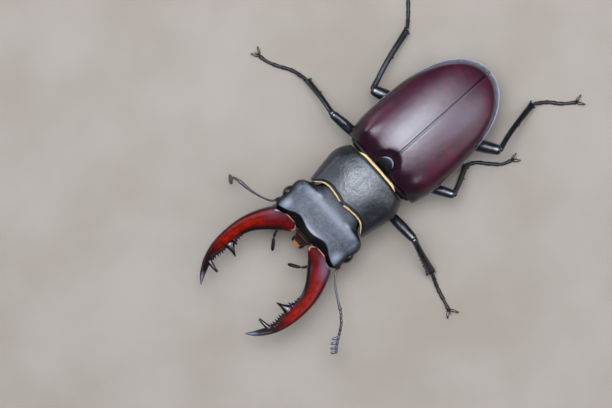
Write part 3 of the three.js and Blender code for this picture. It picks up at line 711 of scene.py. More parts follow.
def elytronTones(x, y, away, share):
    # from the distance to the outer edge and the share of the length at each point
    colours = elytronColours
    offSuture = smoothStep(0.1, 0.3, x)
    # painted shade on the sloping sides and in the gutter inside the rim
    strength, near, far = colours["darkSides"]
    edge = strength * (1 - smoothStep(near, far, away)) + ridge(colours["darkLine"], away)
    # painted shade where the front turns down, round the scutellum and along the suture
    strength, begins, full = colours["darkFront"]
    back, wide = colours["darkBehindNotch"]
    edge += strength * smoothStep(begins, full, y - back * hump(x, 0, wide)) + smoothStep(0.26, 0.1, x)
    flank = smoothStep(*colours["streakSides"], x) + smoothStep(*colours["streakTail"], y)
    # painted reflection on the margin round the tail
    pale = colours["paleTail"] * (1 - smoothStep(*colours["paleWidth"], away))
    # painted highlight on the raised rim
    bead = (colours["bead"] - ridge(colours["beadDim"], share)) * smoothStep(*colours["beadWidth"], away)
    return {
        "edge": np.clip(edge, 0, 1),
        "flank": np.clip(flank, colours["streakLeast"], 1),
        "rim": pale * smoothStep(*colours["paleFrom"], share) * offSuture,
        "bead": bead * smoothStep(*colours["beadFrom"], share) * offSuture,
    }


elytronLeft, edgeAway, edgeShare = elytronShape()
x, y = elytronLeft[0][:, 0], elytronLeft[0][:, 1]
edgeAway, edgeShare = (np.concatenate([row, np.zeros(len(x) - len(row))]) for row in (edgeAway, edgeShare))
edgeTones = elytronTones(x, y, edgeAway, edgeShare)
for side in (left, right):
    shape = elytronLeft if side == left else mirrored(elytronLeft)
    piece("elytronShell." + sideNames[side], shape, finishes["elytron"],
          ["elytron_" + sideNames[side]], edgeTones)


# scutellum
scutellum = {
    "frontY": -2.15, "length": 2.72, "halfWidth": 1.86, "topZ": 13.2, "thickness": 0.75, "dome": 0.2,
    "frontCurve": 0.12, "edgeDrop": 0.16,   # how far the front edge bows out, and the top edge turns down
    "middleShare": 0.42,     # how far back the middle of its dome lies
    "tilt": 0.42,            # how much it falls forwards for each millimetre
    # a painted highlight along the rear margin
    "highlightLine": (0.7, 0.95, 0.06),   # along the rear margin: strength, place from the middle (0) out, width
    "rings": 26, "sides": 120,
}


def scutellumShape():
    turn = aroundRing(scutellum["sides"])
    x = scutellum["halfWidth"] * np.cos(turn)
    y = scutellum["frontY"] + scutellum["length"] * np.maximum(0, np.sin(turn))
    y -= scutellum["frontCurve"] * np.maximum(0, -np.sin(turn))
    middleY = scutellum["frontY"] + scutellum["middleShare"] * scutellum["length"]
    # rings over the top from the middle outwards, then down the edge and in underneath
    rings = [(s, scutellum["dome"] * (1 - s ** 2) - scutellum["edgeDrop"] * s ** 9)
             for s in np.linspace(0.03, 1, scutellum["rings"])]
    deep = scutellum["thickness"]
    rings += [(1.0, -0.3), (0.99, -0.5), (0.93, -deep), (0.4, -deep - 0.02)]
    loops = np.array([np.stack([x * s, mix(middleY, y, s), np.full(len(x), scutellum["topZ"] + rise)], -1)
                      for s, rise in rings])
    tip = scutellum["frontY"] + scutellum["length"]
    loops[..., 2] -= scutellum["tilt"] * np.maximum(0, tip - 0.2 - loops[..., 1])
    shape = tube(loops)
    off = (shape[0][:, :2] - [0, scutellum["frontY"]]) / [scutellum["halfWidth"], scutellum["length"]]
    # painted highlight along the rear margin
    return shape, ridge(scutellum["highlightLine"], np.hypot(*off.T)) * smoothStep(0.5, 0.8, off[:, 1])


# its tip tone is a painted highlight along the rear margin
shape, rim = scutellumShape()
piece("scutellumPlate", shape, finishes["scutellum"], ["scutellum"], {"tip": rim})
print("stage: wing cases")


# head outline, shared with the neck and the jaws
head = {
    "rimZ": 9.3, "topPower": 0.44, "bottomPower": 0.8,
    "top": softCurve([(-10.9, 11.2), (-12.4, 11.95), (-13.7, 12.32), (-14.6, 12.48), (-15.3, 12.55),
                      (-16, 12.58), (-17.2, 12.55), (-18.5, 12.46), (-19.5, 12.42),
                      (-20.1, 12.44), (-20.4, 12.36), (-20.7, 11.9), (-21.1, 11.1), (-21.6, 10.55),
                      (-21.9, 10.3)]),
    "bottom": softCurve([(-10.9, 6.4), (-12.4, 6.0), (-13.7, 5.8), (-15.1, 5.6), (-19.2, 5.6),
                         (-20.4, 5.8), (-21.2, 6.2), (-21.9, 6.6)]),
    "halfWidth": softCurve([(-10.9, 4.8), (-12.4, 5.4), (-13.7, 6.1), (-14.15, 6.9), (-14.6, 7.95),
                            (-15.1, 8.6), (-15.8, 8.85), (-17.0, 8.72), (-18.2, 8.45), (-19.4, 8.4),
                            (-20.4, 8.5), (-21.2, 8.4), (-21.9, 8.1)]),
    "crest": softCurve([(0, -20.7), (1, -20.62), (2, -20.3), (3.65, -19.95), (4.75, -20.3), (6.1, -21.1),
                        (7.2, -21.55), (8.1, -21.8), (9.5, -21.9)]),
    "face": softCurve([(0, -22.05), (1.6, -22.0), (2.2, -21.7), (3.2, -21.55), (5.2, -21.6), (6.2, -22.05),
                       (7.4, -22.45), (8.4, -22.7), (9.5, -22.75)]),
    "crestY": -20.4, "faceY": -21.9, "shiftFrom": -16.8, "sides": 220,
}


def headLoops(rows, grow=0.0, sides=None):
    # loops of the head at the given places along it, standing out from it by grow
    sides = sides or head["sides"]
    turn = aroundRing(sides)[None]
    base = np.asarray(rows, float)[:, None]
    up = np.sin(turn)
    x = (head["halfWidth"](base) + grow) * np.cos(turn)
    rise = (head["top"](base) + grow - head["rimZ"]) * np.maximum(0, up) ** head["topPower"]
    fall = (head["rimZ"] - head["bottom"](base) + grow) * np.maximum(0, -up) ** head["bottomPower"]
    # the crest and the front face follow their own lines across the upper side
    far = np.abs(x)
    crestShift = (head["crest"](far) - head["crestY"]) * smoothStep(head["shiftFrom"], head["crestY"], base)
    front = mix(head["crest"](far), head["face"](far),
                np.clip((base - head["crestY"]) / (head["faceY"] - head["crestY"]), 0, 1))
    warped = np.where(base < head["crestY"], front, base + crestShift)
    y = mix(base, warped, smoothStep(0.0, 0.42, up))
    return np.stack([x, y, head["rimZ"] + rise - fall], -1)


# prothorax
prothorax = {
    "rimZ": 8.8, "arch": 4.9, "foreDrop": 0.14, "aftDrop": 0.16,
    "depth": 4.1, "topPower": 0.8, "bellyPower": 1.7,
    "front": softCurve([(0, -12.34), (0.6, -12.26), (2, -12.0), (3.8, -11.84), (5.0, -12.0), (5.9, -12.5),
                        (6.6, -13.2), (7.3, -13.85), (9.2, -14.0)]),
    "rear": softCurve([(0, -2.98), (3.5, -3.02), (5, -3.2), (6.5, -3.35), (8.9, -3.5)]),
    "halfWidth": softCurve([(-14.2, 7.3), (-13.9, 7.5), (-13, 7.68), (-12, 7.86), (-10, 8.22), (-8, 8.52),
                            (-6.5, 8.64), (-5.4, 8.5), (-4.4, 8.12), (-3.6, 7.66), (-3.2, 7.4),
                            (-2.9, 7.25)]),
    "cornerY": -13.9, "rearY": -2.98,
    # ridges and grooves as height, place and half width: the first two by distance in from the margin
    "bead": (0.16, 0.12, 0.16), "gutter": (0.14, 0.5, 0.2), "furrow": (0.03, 0, 0.6),
    "endMargins": 1.6,                  # how much narrower they are in front and behind than at the sides
    "sideKeel": (0.12, 0.0, 0.12),      # how far the side edge stands out
    # side dimples and soft swellings: height, middle in x and y, half width in x and y
    "bosses": [(-0.12, 5.8, -9.4, 1.3, 1.5), (-0.08, 4.4, -4.9, 1.6, 0.8), (0.05, 2.7, -7.6, 1.5, 2.2)],
    # painted shade in the gutter inside the margin and on the underside
    "darkGutter": (0.55, 0.5, 0.25), "darkBelow": 0.5,
    "rows": 150, "sides": 240,
    # the neck socket: free space round the head, where it starts and ends, and how deep its mouth lies
    "neckGap": 0.16, "neckRows": (-12.0, -11.0), "neckMouthY": -13.4, "neckRimY": -12.1,
    "rearMiddle": (0, -3.3, 8.6), "rearRings": (0.03, 0.08, 0.2, 0.45, 0.8), "rearInset": 0.5,
}
coxae = {
    "foreleg": {"at": (3.6, -6.9, 4.5), "radii": (2.0, 1.7, 1.8)},
    "midleg": {"at": (3.7, -0.6, 4.3), "radii": (1.9, 1.6, 1.7)},
    "hindleg": {"at": (3.4, 11.2, 4.3), "radii": (2.6, 1.6, 1.6)},
    "gap": 0.12,
}


def hip(kind, side):
    x, y, z = coxae[kind]["at"]
    return np.array([side * x, y, z])


def withSockets(shape, *kinds):
    # pockets on both sides for the hips of the named legs
    for kind in kinds:
        for side in (left, right):
            shape = pressed(shape, hip(kind, side), coxae[kind]["radii"], coxae["gap"])
    return shape


def prothoraxArch(t):
    # height of the upper plate over its side edge, from its front (0) to its rear (1)
    return prothorax["arch"] * (1 - prothorax["foreDrop"] * (1 - t) ** 2 - prothorax["aftDrop"] * t ** 2)


def prothoraxShape():
    turn = aroundRing(prothorax["sides"])[None]
    up = np.sin(turn)
    t = easedShares(prothorax["rows"])[:, None]
    line = mix(prothorax["cornerY"], prothorax["rearY"], t)
    width = prothorax["halfWidth"](line)
    arch = prothoraxArch(t)
    x = width * np.cos(turn)
    z = np.where(up > 0, arch * np.abs(up) ** prothorax["topPower"],
                 -prothorax["depth"] * np.abs(up) ** prothorax["bellyPower"])
    y = mix(prothorax["front"](np.abs(x)), prothorax["rear"](np.abs(x)), t)
    # raised margins with a fine gutter inside them, all round the upper plate
    side = np.arcsin(np.clip(up, 0, 1)) * width            # rough distance from the side edge
    fore, aft = y - prothorax["front"](np.abs(x)), prothorax["rear"](np.abs(x)) - y
    top = smoothStep(0, 0.06, up)
    rim = np.minimum(side, np.minimum(fore, aft) * prothorax["endMargins"])
    lift = ridge(prothorax["bead"], rim) - ridge(prothorax["gutter"], rim)
    lift -= ridge(prothorax["furrow"], x) * smoothStep(0.3, 1.8, fore) * smoothStep(0.5, 1.8, aft)
    lift += bosses(prothorax["bosses"], np.abs(x), y)
    z = prothorax["rimZ"] + z + lift * top
    x = x + np.cos(turn) * ridge(prothorax["sideKeel"], up)
    loops = list(np.stack([x, y, z], -1))
    # painted shade in the gutter and underneath
    below = prothorax["darkBelow"] * (up < -0.02)
    dark = list(np.broadcast_to(ridge(prothorax["darkGutter"], rim) * top + below, x.shape))

    # the front face runs in to the neck opening and back inside as a socket
    socket = prothorax["neckGap"], prothorax["sides"]
    mouthY, endY = prothorax["neckRows"]
    lip, opening = loops[0], headLoops([prothorax["neckMouthY"]], *socket)[0]
    fore = []
    for s in np.linspace(0.03, 1, 16):
        ring = mix(lip, opening, s)
        inset = np.maximum(lip[:, 1] + 0.5, prothorax["neckRimY"])
        ring[:, 1] = mix(lip[:, 1], inset, smoothStep(0, 0.5, s))
        ring[:, 1] = mix(ring[:, 1], mouthY, smoothStep(0.5, 1.0, s))
        fore.append(ring)
    fore += list(headLoops(np.linspace(mouthY, endY, 6), *socket)[1:])
    fore = fore[::-1]
    # the rear face, set in a little behind its margin
    last, aftRings = loops[-1], []
    for s in prothorax["rearRings"]:
        ring = mix(last, np.array(prothorax["rearMiddle"]), s)
        ring[:, 1] = last[:, 1] - prothorax["rearInset"] * smoothStep(0, 0.3, s) * (1 - s) - 0.3 * s
        aftRings.append(ring)
    everything = np.array(fore + loops + aftRings)
    # painted shade in the neck socket and on the rear face
    tones = np.concatenate([np.ones((len(fore), x.shape[1])), dark, np.ones((len(aftRings), x.shape[1]))])
    return withSockets(tube(everything), "foreleg"), np.concatenate([tones.ravel(), [1, 1]])


shape, dark = prothoraxShape()
piece("prothoraxPlate", shape, finishes["pronotum"], ["prothorax"], {"dark": dark})
print("stage: prothorax")


# hind body under the wing cases
hindbody = {
    "clearance": 1.0, "collarY": -3.15, "depth": 4.6, "bellyPower": 1.8, "tuckWidth": 7.0,
    "rows": 130, "sides": 160,
    # shares of the wing cases' length: where each part runs, and where the belly plates meet
    "metathorax": (-0.014, 0.485), "abdomen": (0.497, 0.957), "seams": (0.6, 0.695, 0.785, 0.872),
    # each belly plate rises to its rear edge by so much over so far, then steps down in a groove
    "plateRise": (0.22, 0.9), "plateStep": (0.16, 0.12, 0.16),
    "underCases": 0.75, "underFront": 0.7,     # free space under the cases, and more of it at the front
    # painted shade on the upper side, under the wing cases
    "darkTop": 0.8,
    # on the breast: a keel on the midline, slanting seams from hip to hip and one across
    "keel": (0.3, 0, 0.28), "slantSeam": (0.25, 0, 0.3), "slant": 0.42, "crossSeam": (0.12, 9.2, 0.25),
    # rings of the collar: how far in towards its middle, and how far ahead
    "collar": ((0.04, 0.12), (0.1, 0.5), (0.12, 1.0), (0.3, 1.02)), "collarZ": 8.9,
}


def hindbodyShape(start, end, seams):
    turn = aroundRing(hindbody["sides"])[None]
    up = np.sin(turn)
    t = mix(start, end, easedShares(hindbody["rows"]))[:, None]
    width = elytraHalfWidth(t) - hindbody["clearance"]
    arch = np.maximum(0.3, elytraArch(t) - hindbody["clearance"])
    depth = hindbody["depth"] * np.minimum(1, (width / hindbody["tuckWidth"]) ** 0.9)
    x = width * np.cos(turn)
    z = np.where(up > 0, arch * np.abs(up) ** elytra["crossPower"],
                 -depth * np.abs(up) ** hindbody["bellyPower"])
    y = mix(np.where(up > 0, elytraFront(x), elytra["frontY"]), elytra["tipY"], t)
    below = smoothStep(0.05, -0.15, up)
    groove = np.zeros_like(z)
    for at in seams:
        step = (t - at) * (elytra["tipY"] - elytra["frontY"])
        rise, run = hindbody["plateRise"]
        groove += rise * np.where(step < 0, np.exp(step / run), 0) - ridge(hindbody["plateStep"], step)
    z = elytra["rimZ"] + z - groove * below
    dome, turned = elytronTop(x, y)            # the upper face keeps well under the cases
    space = hindbody["underCases"] + hindbody["underFront"] * smoothStep(0.8, -0.4, y - elytraFront(x))
    under = elytra["rimZ"] + dome - turned - space
    z = np.where(up > 0, np.minimum(z, np.maximum(under, elytra["rimZ"] - 0.2)), z)
    # painted shade on the upper side, under the wing cases
    dark = np.broadcast_to(hindbody["darkTop"] * smoothStep(0, 0.2, up), x.shape)
    return tube(np.stack([x, y, z], -1)), np.concatenate([dark.ravel(), [1, 1]])


def metathoraxShape():
    shape, dark = hindbodyShape(*hindbody["metathorax"], [])
    x, y, z = shape[0].T
    belly = smoothStep(9.0, 7.0, z)
    keel = ridge(hindbody["keel"], x) * smoothStep(0.5, 2.0, y)
    seams = ridge(hindbody["slantSeam"], np.abs(x) - hindbody["slant"] * (y + 3))
    seams += ridge(hindbody["crossSeam"], y)
    z = z + belly * (keel - seams)
    # the narrower collar that runs forward into the prothorax
    count = hindbody["sides"]
    first = np.stack([x, y, z], 1)[:count]
    middle = np.array([0, hindbody["collarY"], hindbody["collarZ"]])
    rings = []
    for s, ahead in hindbody["collar"]:
        ring = mix(first, middle, s)
        ring[:, 1] = mix(first[:, 1], np.minimum(first[:, 1], hindbody["collarY"]), ahead)
        rings.append(ring)
    loops = np.stack([x, y, z], 1)[:-2].reshape(-1, count, 3)
    shape = tube(np.concatenate([np.array(rings[::-1]), loops]))
    # painted shade on the collar
    dark = np.concatenate([np.ones(len(rings) * count), dark])
    return withSockets(shape, "midleg", "hindleg"), dark


shape, dark = metathoraxShape()
piece("metathoraxBody", shape, finishes["underside"], ["metathorax"], {"dark": dark})
shape, dark = hindbodyShape(*hindbody["abdomen"], hindbody["seams"])
shape = withSockets(shape, "hindleg")
piece("abdomenBody", shape, finishes["underside"], ["abdomen"], {"dark": dark})
print("stage: hind body")


# head
eye = {"at": (8.45, -18.6, 8.75), "radii": (1.22, 1.45, 1.2), "gap": 0.05}
# the head's relief and where its painted shade (dark) and painted highlights (pale) lie, with far for the
# distance from the midline; ridges are (height or strength, place, half width), bosses (height, place in far
# and y, half widths)
headRelief = {
    # stretches of rows along the head: where each begins and ends, and how many rows it has
    "stretches": ((-11.3, -13.6, 24), (-13.65, -15.6, 50), (-15.65, -19.6, 50), (-19.65, -21.9, 76)),
    "crestRidge": (0.1, 0.1, 0.5), "crestEnds": (9, 6.5),          # by distance behind the crest
    "bowl": [(0.07, 0, 1.5, 4.6, 1.3)],                            # in x and behind the crest
    "frontCorner": 0.2,
    "keel": (0.06, 8.05, 0.4), "keelGroove": (0.03, 7.3, 0.6),     # over the eyes, by far
    "templeGroove": (0.42, 0, 0.24), "templeLine": (-14.2, 0.1),   # the line is its y at far 5, and its slant
    "nape": [(0.1, 3.9, -14.7, 1.2, 0.6)],
    "cheeks": ((0.85, -21.4, 0.75), (0.62, -18.6, 2.1), (0.15, -16.2, 0.9)),      # by y
    "sideKeel": (0.16, 10.3, 0.28),                                # by height
    # painted shade in the temple grooves, low on the sides and towards the neck
    "darkTemple": (0.85, 0, 0.34), "darkLow": 0.85, "darkNeck": (0.25, 0.8),
    # painted highlights on the front corners, the nape, the rear, the side keels and the crest
    "palePatches": [(0.7, 7.2, -20.3, 0.85, 1.2)], "paleNape": [(0.5, 4.1, -14.5, 0.7, 0.35)],
    "paleRear": (0.32, -15.3, 0.8), "paleKeel": (0.45, 11.85, 0.16), "paleCrest": [(0.7, 0, 0.25, 2.4, 0.4)],
    "faceMiddle": (0, -21.4, 8.6), "faceRings": (0.04, 0.12, 0.3, 0.6), "faceHollow": 0.25,
}


def headTones(x, far, y, z, behindCrest, fromTemple):
    relief = headRelief
    # painted shade on the slope ahead of the crest, in the temple grooves, low on the sides and towards the
    # neck
    dark = smoothStep(0.0, -0.14, behindCrest)
    dark += ridge(relief["darkTemple"], fromTemple) * smoothStep(4, 6, far)
    dark += relief["darkLow"] * smoothStep(11.5, 10.5, z)
    dark += smoothStep(-14.7, -13.4, y) * mix(*relief["darkNeck"], smoothStep(3.2, 5.0, far))
    # painted highlights on the front corners, the nape, the rear, the side keels and the crest
    pale = bosses(relief["palePatches"], far, y) + bosses(relief["paleNape"], far, y)
    pale += ridge(relief["paleRear"], y) * smoothStep(8.0, 5.5, far)
    pale += ridge(relief["paleKeel"], z) * smoothStep(7.2, 7.8, far) * smoothStep(-15.2, -16.2, y)
    pale += bosses(relief["paleCrest"], x, behindCrest)
    return dark, pale * smoothStep(-0.02, 0.06, behindCrest)


def headShape():
    relief = headRelief
    loops = headLoops(np.concatenate([np.linspace(*stretch) for stretch in relief["stretches"]]))
    x, y, z = (loops[..., k] for k in range(3))
    far = np.abs(x)
    top = smoothStep(0.1, 0.45, np.sin(aroundRing(head["sides"])[None]))
    behindCrest = y - head["crest"](far)
    templeY, slant = relief["templeLine"]
    fromTemple = y - templeY + slant * (far - 5)
    # the raised crest, the shallow bowl behind it and the sloping front corners
    lift = ridge(relief["crestRidge"], behindCrest) * smoothStep(*relief["crestEnds"], far)
    lift -= bosses(relief["bowl"], x, behindCrest)
    lift -= relief["frontCorner"] * smoothStep(5.0, 7.6, far) * smoothStep(-18.4, -20.6, y)
    # side keels over the eyes, grooves behind the temples and the smooth nape
    lift += ridge(relief["keel"], far) * smoothStep(-15.4, -16.8, y)
    lift -= ridge(relief["keelGroove"], far) * smoothStep(-15.2, -16.4, y) * smoothStep(-20.8, -19.0, y)
    lift -= ridge(relief["templeGroove"], fromTemple) * smoothStep(3.8, 6.2, far)
    lift += bosses(relief["nape"], far, y)
    z = z + lift * top
    # cheeks: the lower sides stand out before, round and behind the eyes, under a thin side keel
    low = smoothStep(10.6, 9.2, z) * smoothStep(6.2, 7.6, z)
    cheek = sum(ridge(row, y) for row in relief["cheeks"])
    x = x + np.sign(x) * low * cheek * smoothStep(6, 8, far)
    x = x + np.sign(x) * ridge(relief["sideKeel"], z) * smoothStep(-15.8, -16.8, y)
    dark, pale = headTones(x, far, y, z, behindCrest, fromTemple)
    points = np.stack([x, y, z], -1)
    # a rounded hollow for each eye
    for side in (left, right):
        middle = np.array([side * eye["at"][0], *eye["at"][1:]])
        off = (points - middle) / (np.array(eye["radii"]) + eye["gap"])
        inside = (off ** 2).sum(-1) < 1
        inward = np.sqrt(np.maximum(0, 1 - off[..., 1] ** 2 - off[..., 2] ** 2))
        inward *= eye["radii"][0] + eye["gap"]
        points[..., 0] = np.where(inside, side * (eye["at"][0] - inward), points[..., 0])
        # painted shade in each eye's hollow
        dark = np.where(inside, 1.0, dark)
    # the front face closes in a shallow hollow between the jaws
    face, faceRings = points[-1], []
    for s in relief["faceRings"]:
        ring = mix(face, np.array(relief["faceMiddle"]), s)
        ring[:, 1] = face[:, 1] + relief["faceHollow"] * smoothStep(0, 0.4, s)
        faceRings.append(ring)
    points = np.concatenate([points, np.array(faceRings)])
    # painted shade on the hollow of the front face
    closed = np.ones((len(faceRings), head["sides"]))
    tones = {"dark": np.concatenate([np.clip(dark, 0, 1), closed]),
             "pale": np.concatenate([pale, np.zeros_like(closed)])}
    return tube(points), {name: np.append(tone, [tone[0, 0], tone[-1, 0]]) for name, tone in tones.items()}


shape, tones = headShape()
piece("headCapsule", shape, finishes["head"], ["head"], tones)

for side in (left, right):
    centre = (side * eye["at"][0], *eye["at"][1:])
    piece("eyeball." + sideNames[side], ball(centre, eye["radii"], 70, 100), finishes["eye"],
          ["eye_" + sideNames[side]])
print("stage: head")


# upper lip and mouth brush
labrum = {
    "line": [(0, -21.75, 8.9), (0, -22.9, 8.55), (0, -24.15, 7.75)],
    "width": softCurve([(0, 1.5), (0.08, 1.95), (0.3, 1.98), (0.45, 1.72), (0.62, 1.42), (0.8, 1.12),
                        (0.93, 0.8), (1, 0.25)]),
    "height": softCurve([(0, 0.5), (0.1, 0.82), (0.5, 0.72), (0.85, 0.42), (1, 0.08)]),
    "squareness": (0.85, 0.8),                                    # across and upright
    "notch": (0.3, 0, 0.3), "groove": (0.16, 0.3, 0.05), "furrow": (0.1, 0, 0.22),
    "rings": 70, "sides": 96,
}


def labrumShape():
    t = np.linspace(0, 1, labrum["rings"])[:, None]
    centre = splinePoints(labrum["line"], t[:, 0])
    turn = aroundRing(labrum["sides"])[None]
    across, upright = labrum["squareness"]
    x = labrum["width"](t) * squared(np.cos(turn), across)
    z = centre[:, 2:] + labrum["height"](t) * squared(np.sin(turn), upright)
    y = centre[:, 1:2] + ridge(labrum["notch"], x) * smoothStep(0.6, 1, t)
    furrow = ridge(labrum["furrow"], x) * smoothStep(0.3, 0.6, t)
    z = z - smoothStep(0, 0.4, np.sin(turn)) * (ridge(labrum["groove"], t) + furrow)
    return tube(np.stack([x, y, z], -1))


piece("labrumPlate", labrumShape(), finishes["labrum"], ["labrum"], {"dark": 0.25})


# tufts of hair; each gets a small patch of its own on the unwrap of the skin under it
tuft = {
    "rings": 4, "sides": 3,
    "taper": 0.6,              # below 1 a hair keeps its thickness for longer
    "patch": 0.0012, "patchNarrows": 0.8,
}


def bristles(roots, ways, lengths, radii, droop, uvRoots):
    # tapered spikes; each leaves its root along ways and bends by droop towards its tip
    count, rings, sides = len(roots), tuft["rings"], tuft["sides"]
    s = np.linspace(0, 1, rings + 1)
    ways = unit(ways)
    helper = np.where(np.abs(ways[:, 2:]) < 0.9, [[0, 0, 1.0]], [[0, 1.0, 0]])    # not along the hair
    across = unit(np.cross(ways, helper))
    upright = np.cross(across, ways)
    turn = aroundRing(sides)
    spin = rng.uniform(0, 2 * np.pi, count)
    loops = np.zeros((count, rings, sides, 3))
    for n in range(rings):
        middle = roots + ways * (lengths * s[n])[:, None] + droop * (lengths * s[n] ** 2)[:, None]
        thick = radii * (1 - s[n]) ** tuft["taper"]
        for k in range(sides):
            loops[:, n, k] = (middle + across * (np.cos(turn[k] + spin) * thick)[:, None]
                              + upright * (np.sin(turn[k] + spin) * thick)[:, None])
    tips = roots + ways * lengths[:, None] + droop * lengths[:, None]
    each = rings * sides + 1
    points = np.concatenate([loops.reshape(count, -1, 3), tips[:, None]], 1).reshape(-1, 3)
    base = (np.arange(count) * each)[:, None, None, None]
    ring = np.arange(rings - 1)[None, :, None, None] * sides
    k = np.arange(sides)[None, None, :, None]
    beside = (k + 1) % sides
    quads = np.concatenate([base + ring + k, base + ring + beside, base + ring + sides + beside,
                            base + ring + sides + k], -1).reshape(-1, 4)
    base = base[:, 0, 0]
    last = (rings - 1) * sides
    k = np.arange(sides)[None]
    point = np.broadcast_to(base + rings * sides, (count, sides))
    tips = np.stack([base + last + k, base + last + (k + 1) % sides, point], -1).reshape(-1, 3)
    rootEnds = np.stack([base[:, 0] + n for n in reversed(range(sides))], -1)
    tris = np.vstack([tips, rootEnds])
    along = np.concatenate([np.repeat(s[:rings], sides), [1.0]])
    around = np.stack([np.cos(np.tile(turn, rings)), np.sin(np.tile(turn, rings))], -1)
    inward = (1 - tuft["patchNarrows"] * np.repeat(s[:rings], sides))[:, None]
    patch = np.concatenate([tuft["patch"] * around * inward, [[0, 0]]])
    uv = uvRoots[:, None] + patch[None]
    shade = np.repeat(rng.uniform(0, 1, count), each)
    return outward(points, [quads, tris]), np.tile(along, count), shade, uv.reshape(-1, 2)


def coat(name, hairs, finish, stands=()):
    shape, along, shade, uv = hairs
    obj = piece(name, shape, finish, list(stands), {"tip": along, "shade": shade})
    layer = obj.data.uv_layers.new(name="OFBake")
    corners = readOut(obj.data.loops, "vertex_index", np.int32)
    layer.data.foreach_set("uv", uv[corners].astype(np.float32).ravel())


mouthBrush = {
    "line": [(0, -22.5, 6.75), (0, -23.3, 6.5), (0, -24.0, 6.25)], "radii": (0.66, 0.34),
    "stalk": ((0.74, 0.36), (0.5, 0.24)),       # half widths and half heights at its root and end
    "hairs": 2600, "length": (0.4, 0.85), "thickness": 0.022,
    "oval": (1.25, 1, 0.8), "ahead": (0, -1.0, -0.12), "spread": (0.15, 0.5), "untidy": 0.08,
    "droop": (0, -0.05, -0.12), "droopVaries": 0.06,
}


def mouthBrushHairs():
    count = mouthBrush["hairs"]
    t = rng.uniform(0.08, 1, count) ** 0.8
    fill = np.where(t > 0.8, rng.uniform(0, 1, count) ** 0.5, 1)     # the end is filled right across
    turn = rng.uniform(0, 2 * np.pi, count)
    middle = splinePoints(mouthBrush["line"], t)
    out = np.stack([np.cos(turn), 0 * turn, np.sin(turn)], -1)
    radius = mix(*mouthBrush["radii"], t) * 0.8 * fill
    roots = middle + out * radius[:, None] * np.array(mouthBrush["oval"])
    ways = mouthBrush["ahead"] + out * rng.uniform(*mouthBrush["spread"], count)[:, None]
    ways += rng.normal(0, mouthBrush["untidy"], (count, 3))
    lengths = rng.uniform(*mouthBrush["length"], count) * mix(0.7, 1.1, t)
    uv = np.stack([turn / (2 * np.pi), t], -1)
    droop = mouthBrush["droop"] + rng.normal(0, mouthBrush["droopVaries"], (count, 3))
    return bristles(roots, ways, lengths, np.full(count, mouthBrush["thickness"]), droop, uv)


def roundedEnds(t, power):
    return np.sqrt(np.maximum(0.02, 1 - (2 * t - 1) ** power))


stalk = sweep(mouthBrush["line"], lambda t: mix(*mouthBrush["stalk"][0], t) * roundedEnds(t, 8),
              lambda t: mix(*mouthBrush["stalk"][1], t) * roundedEnds(t, 8), rings=30, sides=24)
piece("mouthBrushStalk", stalk, finishes["labrum"], [], {"dark": 0.6})
coat("mouthBrushHairs", mouthBrushHairs(), finishes["brush"], ["mouth_brush"])


# jaws
mandible = {
    # outer edge, inner edge, height of the middle, half height; from inside the head to the tip
    "stations": [
        [(7.6, -21.3), (3.1, -21.3), 8.5, 2.0],
        [(8.75, -22.9), (2.15, -22.75), 8.55, 2.05],
        [(9.8, -24.9), (3.85, -24.75), 8.75, 1.85],
        [(10.5, -26.7), (5.55, -26.5), 9.0, 1.65],
        [(11.0, -28.5), (7.05, -28.3), 9.15, 1.52],
        [(11.3, -30.3), (8.0, -30.1), 9.2, 1.42],
        [(11.42, -32.2), (8.32, -31.9), 9.2, 1.35],
        [(11.4, -34.0), (8.38, -33.8), 9.05, 1.28],
        [(11.2, -35.9), (8.5, -35.7), 8.85, 1.18],
        [(10.8, -37.7), (8.72, -37.4), 8.6, 1.02],
        [(10.1, -39.5), (8.5, -39.1), 8.25, 0.85],
        [(9.15, -41.1), (7.75, -40.75), 8.0, 0.65],
        [(7.95, -42.55), (7.12, -42.15), 7.75, 0.45],
        [(6.45, -43.68), (6.38, -43.52), 7.45, 0.12],
    ],
    "gap": 0.12,            # free space between the jaw's base and the head's face
    "baseCorner": 0.55,     # how far the base's inner corner is rounded off
    "rings": 240, "sides": 72, "underPower": 0.85, "voxel": 0.075,
    "baseReflection": {"left": 1.0, "right": 0.4},    # a painted lilac reflection at the base, stronger on one side
    # height of the upper face across the jaw, from the outer (-1) to the inner edge (1)
    "upperFace": softCurve([(-1, 0.0), (-0.97, 0.42), (-0.88, 0.78), (-0.72, 0.97), (-0.5, 1.0), (-0.1, 0.86),
                            (0.4, 0.62), (0.78, 0.42), (0.93, 0.26), (1, 0.0)]),
    # large teeth: points of their own line, half widths and half heights along it
    "largeTeeth": [
        {"line": [(9.7, -33.9, 8.7), (8.5, -34.1, 8.95), (7.3, -34.45, 8.95), (6.0, -34.85, 8.7)],
         "width": [1.3, 1.05, 0.46, 0.1], "height": [0.7, 0.72, 0.5, 0.12]},
        {"line": [(9.2, -39.1, 8.15), (8.4, -39.3, 8.25), (7.2, -39.45, 8.25), (6.15, -39.5, 8.15)],
         "width": [0.62, 0.5, 0.38, 0.24], "height": [0.5, 0.48, 0.4, 0.22]},
    ],
    # small teeth on the inner edge: where along it (y), how far they reach, half width; half height
    "smallToothHeight": 0.55, "leastTooth": 0.07,
    "smallTeeth": [(-31.2, 0.24, 0.32), (-31.85, 0.36, 0.32), (-32.45, 0.46, 0.32), (-33.0, 0.85, 0.42),
                   (-35.5, 0.36, 0.3), (-36.05, 0.55, 0.3), (-36.62, 0.5, 0.3), (-37.2, 0.58, 0.3),
                   (-37.8, 0.5, 0.3), (-38.4, 0.5, 0.32)],
}


